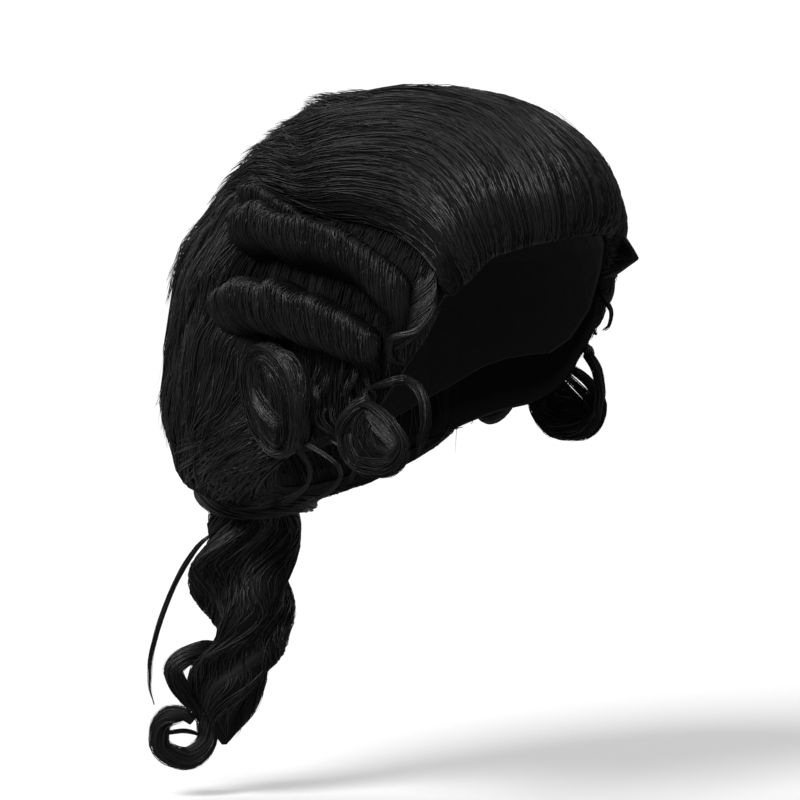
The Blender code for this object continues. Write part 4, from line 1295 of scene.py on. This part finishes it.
def side_piece(name, node, seed, side, look):
    rng = np.random.default_rng(seed)
    tress = Tress()
    noise = Noise(seed)
    columns, rows = 61, 61
    phi = np.linspace(53.0, BACK_START + 4, columns)
    s = np.linspace(0, 1, rows)[:, None]
    top = around(TOP_BORDER, phi) + 0.2
    t = top + (around(HAIR_EDGE, phi) - top) * s
    both = np.broadcast_to(phi, t.shape)
    d = way(both, t)
    relief = 0.8 * noise(both / 2.6 + 3 * s, t / 26) + 0.35 * noise(both / 1.1 + 50, t / 30)
    outer = place(d, side_top(both, t) + relief * np.clip(8 * s * (1 - s), 0, 1))
    inner = place(d, hair_floor(both, t))
    add_shell(tress, outer, inner, ((both - 50) / 82, s * np.ones_like(t)), 5)
    # Strands down the side, some round under its edge; those behind the rolls and many in the hollow by the ear get
    # painted shade
    count, steps = 780, 8
    phi = rng.uniform(54.0, BACK_START + 3, count)
    top = around(TOP_BORDER, phi)
    edge = around(HAIR_EDGE, phi)
    t0 = top - 2 + (edge - top + 2) * rng.uniform(0, 0.88, count)
    length = rng.uniform(12, 30, count)
    under = rng.uniform(-1.5, 3.5, count)
    length = np.minimum(length, edge + under - t0)
    s = np.linspace(0, 1, steps)[None, :]
    t = t0[:, None] + length[:, None] * s
    bow = rng.normal(0.12, 0.12, (count, 1)) * length[:, None]
    p = np.clip(phi[:, None] + bow * s, 53.6, BACK_START + 3)
    lift = rng.uniform(0.2, 1.3, (count, 1)) - 1.2 * (1 - np.minimum(1, s * 5))
    points, normals = fold_under(p, t, lift, side_top, hair_edge)
    form = np.minimum(1, 0.55 + s * 6) * (1 - 0.85 * s ** 3)
    widths = rng.uniform(0.26, 0.48, (count, 1)) * form
    # Painted shade for strands behind the rolls and for many in the hollow between the ear and the temple.
    hollow = (t0 < 114) & (phi > 70) & (phi < 108) & (rng.uniform(0, 1, count) < 0.6)
    painted_shade_mask = ((t0 < 84) & (phi > 60)) | hollow
    for group, deep in ((painted_shade_mask, True), (~painted_shade_mask, False)):
        add_strands(tress, points[group], normals[group], widths[group], rng, deep=deep)
    # Strands that sweep back from the temple hairline, over the thin lock
    count, steps = 230, 9
    t0 = rng.uniform(62, 77, (count, 1))
    p0 = 51.5 + 0.42 * np.abs(t0 - 66)
    s = np.linspace(0, 1, steps)[None, :]
    reach = rng.uniform(12, 21, (count, 1))
    p = np.maximum(p0 + reach * s, 53.6)
    t = t0 + rng.uniform(7.5, 10.5, (count, 1)) * (1 - (1 - s) ** 2.2) + rng.uniform(0, 7, (count, 1)) * s ** 4
    lift = rng.uniform(0.4, 2.4, (count, 1)) * (1 - 0.7 * s ** 3)
    points, normals = fold_under(p, t, lift, side_top, hair_edge)
    form = np.minimum(1, 0.55 + s * 6) * (1 - 0.85 * s ** 3)
    add_strands(tress, points, normals, rng.uniform(0.24, 0.42, (count, 1)) * form, rng)
    # Strands from the temple hairline back into the fold over the upper roll
    count = 110
    lanes = rng.uniform(1.12, 1.36, count)
    lay_from = rng.uniform(-64, -44, count)
    phi, t = from_flat(lane_x(lanes, lay_from), lay_from)
    edge_y = lay_from.copy()
    for _ in range(24):
        outside = t > hair_edge(phi) + 1.5
        edge_y = np.where(outside, edge_y + 1.0, edge_y)
        phi, t = from_flat(lane_x(lanes, edge_y), edge_y)
    s = evenly(9)
    lift = settled(rng, count, s, 0.1, 1.0, sink=0.2)
    lay(tress, rng, lanes, edge_y, rng.uniform(12, 24, count), lift, rng.uniform(0.24, 0.42, count), s, radius=side_radius)
    # Strands with painted shade from under the crown's edge down to the upper roll
    count = 300
    phi = rng.uniform(55, 100, (count, 1))
    s = evenly(7)[None, :]
    t = around(TOP_BORDER, phi) - 1.5 + rng.uniform(0, 5, (count, 1)) + rng.uniform(7, 16, (count, 1)) * s
    p = np.maximum(phi + rng.uniform(3, 13, (count, 1)) * s ** 1.3, 53.6)
    t = np.minimum(t, hair_edge(p) - 1)
    lift = rng.uniform(0.3, 1.5, (count, 1)) * (1 - 0.5 * s ** 3)
    points, normals = fold_under(p, t, lift, side_top, hair_edge)
    form = np.minimum(1, 0.55 + s * 6) * (1 - 0.85 * s ** 3)
    add_strands(tress, points, normals, rng.uniform(0.35, 0.6, (count, 1)) * form, rng, deep=True)
    # Loose curled wisps in the hollow between the ear and the temple
    for _ in range(14):
        p0 = rng.uniform(76, 98)
        t0 = rng.uniform(88, 108)
        s = np.linspace(0, 1, 7)
        bend = rng.uniform(2, 5) * rng.choice([-1, 1])
        p = p0 + bend * np.sin(s * rng.uniform(2.5, 5.0) + rng.uniform(0, 3)) * s
        t = np.minimum(t0 + rng.uniform(7, 15) * s, hair_edge(p) + 1)
        out = side_top(p, np.minimum(t, hair_edge(p))) + 0.8 + rng.uniform(1.0, 3.5) * np.sin(np.pi * s)
        loose_lock(tress, rng, place(way(p, t), out), 2.6, 8, 0.27, 1.6)
    if side < 0:
        tress = tress.mirrored()
    return tress.build(name, look, "hair", node)


def temple_pieces(word, seed, side, look):
    back = 0 if side > 0 else LEFT_CURLS_BACK
    rng = np.random.default_rng(seed)
    tress = Tress()
    path, radii = curl_path(TEMPLE_CURL, 84, back)
    # Many strands of the curl, its fill and the ring take painted shade.
    add_lock(tress, rng, path, radii, 330, twist=0.35, steps=12, sides=12, run=(0.22, 0.5), painted_shade=0.6)
    path, radii = curl_path(TEMPLE_FILL, 36, back)
    add_lock(tress, rng, path, radii * 0.9, 190, twist=0.4, steps=9, sides=12, run=(0.4, 0.9), fray=0.6, painted_shade=0.85)
    # Sparse strands across the open middle, along the slim lock
    for offset in np.linspace(0.25, 0.8, 9):
        row = np.array(TEMPLE_CURL[-5:], float)[:, :3] * (1 - offset) + np.array(TEMPLE_FILL, float)[::-1][:, :3] * offset
        row[:, 1] += back
        loose_lock(tress, rng, keep_off(row, lambda p, q: over_side(p, q) + 1), 1.6, 9, 0.3, 1.2)
    if side < 0:
        tress = tress.mirrored()
    tress.build("temple_curl_strands_" + word, look, "hair", "temple_curl_" + word)
    tress = Tress()
    path, radii = curl_path(TEMPLE_RING, 52, back)
    add_lock(tress, rng, path, radii * 0.78, 120, twist=0.25, steps=14, sides=10, run=(0.4, 0.95), painted_shade=0.5)
    if side < 0:
        tress = tress.mirrored()
    tress.build("temple_ring_strands_" + word, look, "hair", "temple_ring_" + word)
    tress = Tress()
    steps = spread(TEMPLE_LOCK, 44)
    phi, t, radius = steps.T
    path = place(way(phi, t), side_top(phi, t) + GAP + radius)
    add_lock(tress, rng, path, radius * 0.5, 46, twist=0.2, steps=13, sides=8, run=(0.5, 1.0), fray=0.8)
    if side < 0:
        tress = tress.mirrored()
    tress.build("temple_lock_strands_" + word, look, "hair", "temple_lock_" + word)


# ---------------------------------------------------------------- tail


def tail_at(s, angle, lift=0.0):
    """Place on the tail: s is the share of the way down, angle is carried round with the twist."""
    s, angle, lift = np.broadcast_arrays(s, angle, lift)
    k = s * (len(tail_table) - 1)
    grid = np.arange(len(tail_table))
    y, z, wide, deep, turn = (np.interp(k, grid, tail_table[:, c]) for c in range(5))
    turns = angle - np.radians(turn)
    lobes = 1 + (TAIL_LOBE_DEPTH + 0.05) * np.cos(TAIL_LOBES * angle)
    ridge = 0.05 * tail_noise(angle * 3.5 + 40, s * 5) + 0.03 * tail_noise(angle * 9 + 90, s * 6)
    across = (wide * (lobes + ridge) + lift) * np.cos(turns)
    along = y + (deep * (lobes + ridge) + lift) * np.sin(turns)
    return np.stack([across, along, z], axis=-1)


tail_table = spread(TAIL, 200)
tail_noise = Noise(31)
TAIL_STRAIGHTEN = 0.45


def tail_piece(look):
    rng = np.random.default_rng(131)
    tress = Tress()
    rows, sides = 90, 64
    s = np.linspace(0, 1, rows)[:, None]
    angle = 2 * math.pi * np.arange(sides)[None, :] / sides
    grid = tail_at(s, angle)
    add_grid(tress, grid, (np.arange(sides) / sides * np.ones((rows, 1)), s * np.ones((1, sides))), wrap=True, flip=True)
    for ring, flip in ((grid[0], False), (grid[-1], True)):
        cap = np.stack([ring, np.broadcast_to(ring.mean(axis=0), ring.shape)])
        add_grid(tress, cap, (np.arange(sides) / sides * np.ones((2, 1)), np.array([[0.0], [0.02]]) * np.ones((1, sides))), wrap=True, flip=flip)
    count, steps = 900, 12
    length = rng.uniform(0.2, 0.55, count)
    s0 = rng.uniform(0, 1, count) * (1 - length)
    s0 = np.where(rng.uniform(0, 1, count) < 0.25, 0.0, s0)
    u = np.linspace(0, 1, steps)[None, :]
    s = s0[:, None] + length[:, None] * u
    angle = rng.uniform(0, 2 * math.pi, (count, 1)) + rng.normal(0, 0.14, (count, 1)) * u
    turned = np.radians(np.interp(s * (len(tail_table) - 1), np.arange(len(tail_table)), tail_table[:, 4]))
    wave = np.sin(2 * math.pi * 3.1 * s + 1.2 * np.sin(angle) + 0.4 * rng.normal(0, 1, (count, 1)))
    angle = angle + TAIL_STRAIGHTEN * turned + 0.3 * wave + 0.5 * tail_noise(np.cos(angle) * 2 + 5, s * 6 + np.sin(angle))
    lift = rng.uniform(0.0, 1.0, (count, 1)) - 1.0 * (1 - np.minimum(1, u * 6)) + rng.uniform(-0.5, 1.2, (count, 1)) * u ** 4
    points = tail_at(s, angle, lift)
    centre = tail_at(s, angle, -8.0)
    normals = points - centre
    normals /= np.linalg.norm(normals, axis=-1, keepdims=True)
    # A share of the strands, spread at random, takes painted shade.
    part_shaded(tress, points, normals, taper(steps, rng.uniform(0.28, 0.5, count)), rng, TAIL_PAINTED_SHADE)
    return tress.build("ponytail_strands", look, "hair", "ponytail")


def small_pieces(look):
    rng = np.random.default_rng(141)
    tress = Tress()
    right = spread(NAPE_LOCK, 60)
    left = right[-2:0:-1] * (-1, 1, 1, 1)
    ring = np.concatenate([right, left, right[:1]])
    add_lock(tress, rng, ring[:, :3], ring[:, 3] * 0.85, 200, twist=1.2, steps=14, sides=12, run=(0.2, 0.4))
    tress.build("nape_lock_strands", look, "hair", "nape_lock")
    tress = Tress()
    steps = spread(TAIL_CURL, 110)
    add_lock(tress, rng, steps[:, :3], steps[:, 3], 300, twist=0.6, steps=14, sides=12, run=(0.14, 0.34))
    across = spread([(-18.5, 164, -310.5, 0.9), (-10, 157.5, -309.5, 1.1), (-1.5, 150, -312.5, 0.8)], 16)
    add_lock(tress, rng, across[:, :3], across[:, 3], 12, twist=0.2, steps=10, sides=6, run=(0.7, 1.0))
    tress.build("tail_curl_strands", look, "hair", "tail_curl")
    tress = Tress()
    steps = spread([(STRAY_LOCK_X, y, z, r) for y, z, r in STRAY_LOCK], 60)
    add_lock(tress, rng, steps[:, :3], steps[:, 3] * 0.55, 46, twist=0.3, steps=14, sides=6, run=(0.4, 0.9), fray=1.5)
    tress.build("stray_lock_strands", look, "hair", "stray_lock")


NECK_WISPS = [
    [(-88, 27.4, -143.2), (-85.2, 21.8, -148.3), (-82.4, 19.5, -155.6), (-79.6, 23.5, -163.4), (-76.8, 33.3, -170.1), (-74, 46.3, -175.5)],
    [(-86, 23.8, -140.1), (-83.7, 11.4, -145.6), (-81.3, 2.9, -151.4), (-79, 2.1, -156.7), (-76.7, 9, -164.7), (-74.3, 22.3, -172.1), (-72, 39.5, -178.2)],
    [(-84, 6.1, -138.9), (-82, -4, -144.6), (-80, -7.6, -151.8), (-78, -2.3, -159.6)],
]
BACK_LOOP = [(-24, 146, -112), (-22, 153.5, -117.5), (-20, 159.8, -124), (-20, 163, -131.5), (-20, 161.5, -138), (-21, 156.5, -142.5), (-23, 148, -145)]
FLICK_ROOTS = ((61.5, -57, -34), (72.5, -48, -65))
FLICK_TIP = (59, -84, -52.5)
FLICK_LOCKS = 5
FAR_CURL = [(72, -50, -72), (70.5, -55.5, -78), (70, -59, -83.1), (70, -57.1, -90.5), (70, -53.2, -92.8)]


def loose_lock(tress, rng, path, radius, strands, width, spread_tip, steps=13):
    """Bare strands that keep near a path and part at its end."""
    line = smooth_loop(path, steps)
    along, one, two = frames_along(line)
    s = np.linspace(0, 1, steps)[None, :, None]
    a = rng.uniform(0, 2 * math.pi, (strands, 1, 1))
    r = radius * np.sqrt(rng.uniform(0, 1, (strands, 1, 1))) * (1 - s) + spread_tip * rng.uniform(0, 1, (strands, 1, 1)) * s ** 2
    points = line[None] + r * (np.cos(a) * one[None] + np.sin(a) * two[None])
    normals = np.cos(a) * one[None] + np.sin(a) * two[None]
    form = np.minimum(1, 0.5 + s[..., 0] * 5) * (1 - 0.8 * s[..., 0] ** 3)
    add_strands(tress, points, normals, rng.uniform(0.7, 1.2, (strands, 1)) * width * form, rng)


def loose_pieces(look):
    rng = np.random.default_rng(151)
    tress = Tress()
    for path, strands in zip(NECK_WISPS, (16, 14, 8)):
        loose_lock(tress, rng, path, 1.6, strands, 0.26, 2.6)
    tress.build("neck_wisps", look, "hair")
    tress = Tress()
    loose_lock(tress, rng, BACK_LOOP, 1.0, 12, 0.3, 0.8)
    for share in np.linspace(0, 1, FLICK_LOCKS):
        root = np.array(FLICK_ROOTS[0]) * (1 - share) + np.array(FLICK_ROOTS[1]) * share
        bulge = np.array((1.3, -0.3, 1.0)) * (1 - share) + np.array((0.8, 0, -0.8)) * share
        path = [root, root * 0.66 + np.array(FLICK_TIP) * 0.34 + bulge, root * 0.33 + np.array(FLICK_TIP) * 0.67 + bulge * 0.8, FLICK_TIP]
        loose_lock(tress, rng, path, 4.2, 56, 0.42, 0.8, steps=7)
    loose_lock(tress, rng, FAR_CURL, 2.2, 40, 0.34, 1.0)
    # Fine hairs that stand off the surface
    count = 330
    phi = rng.uniform(-180, 180, count)
    t = rng.uniform(16, 116, count)
    turned = np.abs(phi)
    keep = (t < around(TOP_BORDER, phi) - 4) | ((turned > 134) & (t < around(HAIR_EDGE, phi) - 8))
    phi, t = phi[keep], t[keep]
    count = len(phi)
    qx, qy = flat_map(phi, t)
    s = evenly(9)
    length = np.minimum(rng.uniform(8, 26, count), GATHER - 10 - qy)
    lift = 0.3 + rng.uniform(0.5, 4.0, (count, 1)) * s[None, :] ** rng.uniform(0.8, 2.0, (count, 1))
    lay(tress, rng, lane_of(qx, qy), qy, length, lift, rng.uniform(0.12, 0.2, count), s, wander=0.03)
    tress.build("flyaway_hairs", look, "hair")


# ---------------------------------------------------------------- materials


def hair_material(name, lines, dark, light, rough_low, rough_high, specular, aniso):
    made = bpy.data.materials.new(name)
    made.use_nodes = True
    nodes, links = made.node_tree.nodes, made.node_tree.links
    shader = nodes["Principled BSDF"]
    uv = nodes.new("ShaderNodeUVMap")
    uv.uv_map = "OFBake"
    stretch = nodes.new("ShaderNodeMapping")
    stretch.inputs["Scale"].default_value = (lines, 5.0, 1.0)
    links.new(uv.outputs["UV"], stretch.inputs["Vector"])
    noise = nodes.new("ShaderNodeTexNoise")
    noise.inputs["Scale"].default_value = 1.0
    noise.inputs["Detail"].default_value = 4.0
    noise.inputs["Roughness"].default_value = 0.65
    links.new(stretch.outputs["Vector"], noise.inputs["Vector"])
    tone = nodes.new("ShaderNodeValToRGB")
    tone.color_ramp.elements[0].position = 0.3
    tone.color_ramp.elements[0].color = (*dark, 1)
    tone.color_ramp.elements[1].position = 0.72
    tone.color_ramp.elements[1].color = (*light, 1)
    links.new(noise.outputs["Fac"], tone.inputs["Fac"])
    links.new(tone.outputs["Color"], shader.inputs["Base Color"])
    rough = nodes.new("ShaderNodeMapRange")
    rough.inputs["To Min"].default_value = rough_low
    rough.inputs["To Max"].default_value = rough_high
    links.new(noise.outputs["Fac"], rough.inputs["Value"])
    links.new(rough.outputs["Result"], shader.inputs["Roughness"])
    dent = nodes.new("ShaderNodeBump")
    dent.inputs["Strength"].default_value = 0.5
    dent.inputs["Distance"].default_value = 0.0004
    links.new(noise.outputs["Fac"], dent.inputs["Height"])
    links.new(dent.outputs["Normal"], shader.inputs["Normal"])
    shader.inputs["IOR"].default_value = 1.55
    shader.inputs["Specular IOR Level"].default_value = specular
    shader.inputs["Anisotropic"].default_value = aniso
    tangent = nodes.new("ShaderNodeTangent")
    tangent.direction_type = "UV_MAP"
    tangent.uv_map = "OFBake"
    links.new(tangent.outputs["Tangent"], shader.inputs["Tangent"])
    return made


def cap_material():
    made = bpy.data.materials.new("cap_net")
    made.use_nodes = True
    nodes, links = made.node_tree.nodes, made.node_tree.links
    shader = nodes["Principled BSDF"]
    where = nodes.new("ShaderNodeTexCoord")
    voronoi = nodes.new("ShaderNodeTexVoronoi")
    voronoi.feature = "DISTANCE_TO_EDGE"
    voronoi.inputs["Scale"].default_value = 1400.0
    links.new(where.outputs["Object"], voronoi.inputs["Vector"])
    tone = nodes.new("ShaderNodeValToRGB")
    tone.color_ramp.elements[0].position = 0.0
    tone.color_ramp.elements[0].color = (0.022, 0.02, 0.02, 1)
    tone.color_ramp.elements[1].position = 0.12
    tone.color_ramp.elements[1].color = (0.008, 0.0075, 0.0075, 1)
    links.new(voronoi.outputs["Distance"], tone.inputs["Fac"])
    links.new(tone.outputs["Color"], shader.inputs["Base Color"])
    dent = nodes.new("ShaderNodeBump")
    dent.inputs["Strength"].default_value = 0.5
    dent.inputs["Distance"].default_value = 0.0004
    dent.invert = True
    links.new(voronoi.outputs["Distance"], dent.inputs["Height"])
    links.new(dent.outputs["Normal"], shader.inputs["Normal"])
    shader.inputs["Roughness"].default_value = 0.8
    shader.inputs["Sheen Weight"].default_value = 0.1
    return made


# The second look is a darker, rougher and less glossy copy of the hair: painted shade. It goes on the base surfaces,
# on strands in folds, hollows and under overhangs, and on strands spread at random through the hair.
base_look = (
    hair_material("hair", 480.0, (0.0045, 0.0045, 0.005), (0.017, 0.0165, 0.017), 0.26, 0.44, 0.5, 0.5),
    hair_material("hair_painted_shade", 900.0, (0.002, 0.002, 0.002), (0.008, 0.0078, 0.008), 0.5, 0.75, 0.16, 0.3),
)
cap_look = cap_material()

crown_piece(base_look)
back_piece(base_look)
for word, side in (("right", 1), ("left", -1)):
    shift = 0 if side > 0 else 50
    side_piece("side_hair_strands_" + word, "side_hair_" + word, 201 + shift, side, base_look)
    roll_piece("upper_roll_strands_" + word, "upper_roll_" + word, (UPPER_CREST, UPPER_FOLD), 211 + shift, side, base_look)
    roll_piece("lower_roll_strands_" + word, "lower_roll_" + word, (LOWER_CREST,), 221 + shift, side, base_look)
    ear_piece("ear_curl_strands_" + word, "ear_curl_" + word, 231 + shift, side, base_look)
    temple_pieces(word, 241 + shift, side, base_look)
tail_piece(base_look)
small_pieces(base_look)
loose_pieces(base_look)

cap = frame["nodes"]["wig_cap"]
cap = cap if hasattr(cap, "material_slots") else bpy.data.objects[str(cap)]
for slot in cap.material_slots:
    slot.material = cap_look

# ---------------------------------------------------------------- stage, light and camera

FLOOR_Z = -0.345
FLOOR_HALF = 40.0
WORLD_FILL = 0.22
FLOOR_GLOW = 0.2


def stage_floor():
    mesh = bpy.data.meshes.new("floor")
    size = FLOOR_HALF
    corners = [(-size, -size, FLOOR_Z), (size, -size, FLOOR_Z), (size, size, FLOOR_Z), (-size, size, FLOOR_Z)]
    mesh.from_pydata(corners, [], [(0, 1, 2, 3)])
    made = bpy.data.objects.new("floor", mesh)
    bpy.context.scene.collection.objects.link(made)
    look = bpy.data.materials.new("floor")
    look.use_nodes = True
    shader = look.node_tree.nodes["Principled BSDF"]
    shader.inputs["Base Color"].default_value = (0.96, 0.96, 0.96, 1)
    shader.inputs["Roughness"].default_value = 1.0
    shader.inputs["Specular IOR Level"].default_value = 0.0
    shader.inputs["Emission Color"].default_value = (1.0, 1.0, 1.0, 1)
    shader.inputs["Emission Strength"].default_value = FLOOR_GLOW
    mesh.materials.append(look)
    made.visible_glossy = False
    made.visible_diffuse = False


def soft_sun(name, azimuth, elevation, angle, strength):
    """Broad soft light from an azimuth, 0 in front and 90 at the wearer's left."""
    data = bpy.data.lights.new(name, "SUN")
    data.angle = math.radians(angle)
    data.energy = strength
    a, e = math.radians(azimuth), math.radians(elevation)
    toward = Vector((math.sin(a) * math.cos(e), -math.cos(a) * math.cos(e), math.sin(e)))
    made = bpy.data.objects.new(name, data)
    made.rotation_mode = "QUATERNION"
    made.rotation_quaternion = toward.to_track_quat("Z", "Y")
    bpy.context.scene.collection.objects.link(made)


def studio_world():
    """White to the eye, dimmer as a light."""
    world = bpy.data.worlds.new("studio")
    world.use_nodes = True
    nodes, links = world.node_tree.nodes, world.node_tree.links
    back = nodes["Background"]
    back.inputs["Color"].default_value = (1.0, 1.0, 1.0, 1)
    path = nodes.new("ShaderNodeLightPath")
    strength = nodes.new("ShaderNodeMapRange")
    strength.inputs["To Min"].default_value = WORLD_FILL
    strength.inputs["To Max"].default_value = 1.0
    links.new(path.outputs["Is Camera Ray"], strength.inputs["Value"])
    links.new(strength.outputs["Result"], back.inputs["Strength"])
    bpy.context.scene.world = world


stage_floor()
studio_world()
bpy.context.scene.view_settings.view_transform = "Standard"
soft_sun("key", -85, 40, 20, 2.2)
soft_sun("rear", -150, 40, 40, 0.8)
soft_sun("left", 95, 24, 60, 0.35)

azimuth, elevation = math.radians(-53), math.radians(7)
right = Vector((math.cos(azimuth), math.sin(azimuth), 0))
back = Vector((math.sin(azimuth) * math.cos(elevation), -math.cos(azimuth) * math.cos(elevation), math.sin(elevation)))
up = Vector((-math.sin(azimuth) * math.sin(elevation), math.cos(azimuth) * math.sin(elevation), math.cos(elevation)))
PIXELS_PER_METRE = 1950.0
aim = right * ((400 - 438) / PIXELS_PER_METRE) + up * ((156 - 400) / PIXELS_PER_METRE)
DISTANCE = 12.0
camera_data = bpy.data.cameras.new("camera")
camera_data.sensor_width = 36.0
camera_data.lens = 36.0 * DISTANCE / (800 / PIXELS_PER_METRE)
camera = bpy.data.objects.new("camera", camera_data)
camera.location = aim + back * DISTANCE
camera.rotation_mode = "QUATERNION"
camera.rotation_quaternion = back.to_track_quat("Z", "Y")
bpy.context.scene.collection.objects.link(camera)
bpy.context.scene.camera = camera

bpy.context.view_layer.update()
print("TRIANGLES", sum(totals.values()), totals)
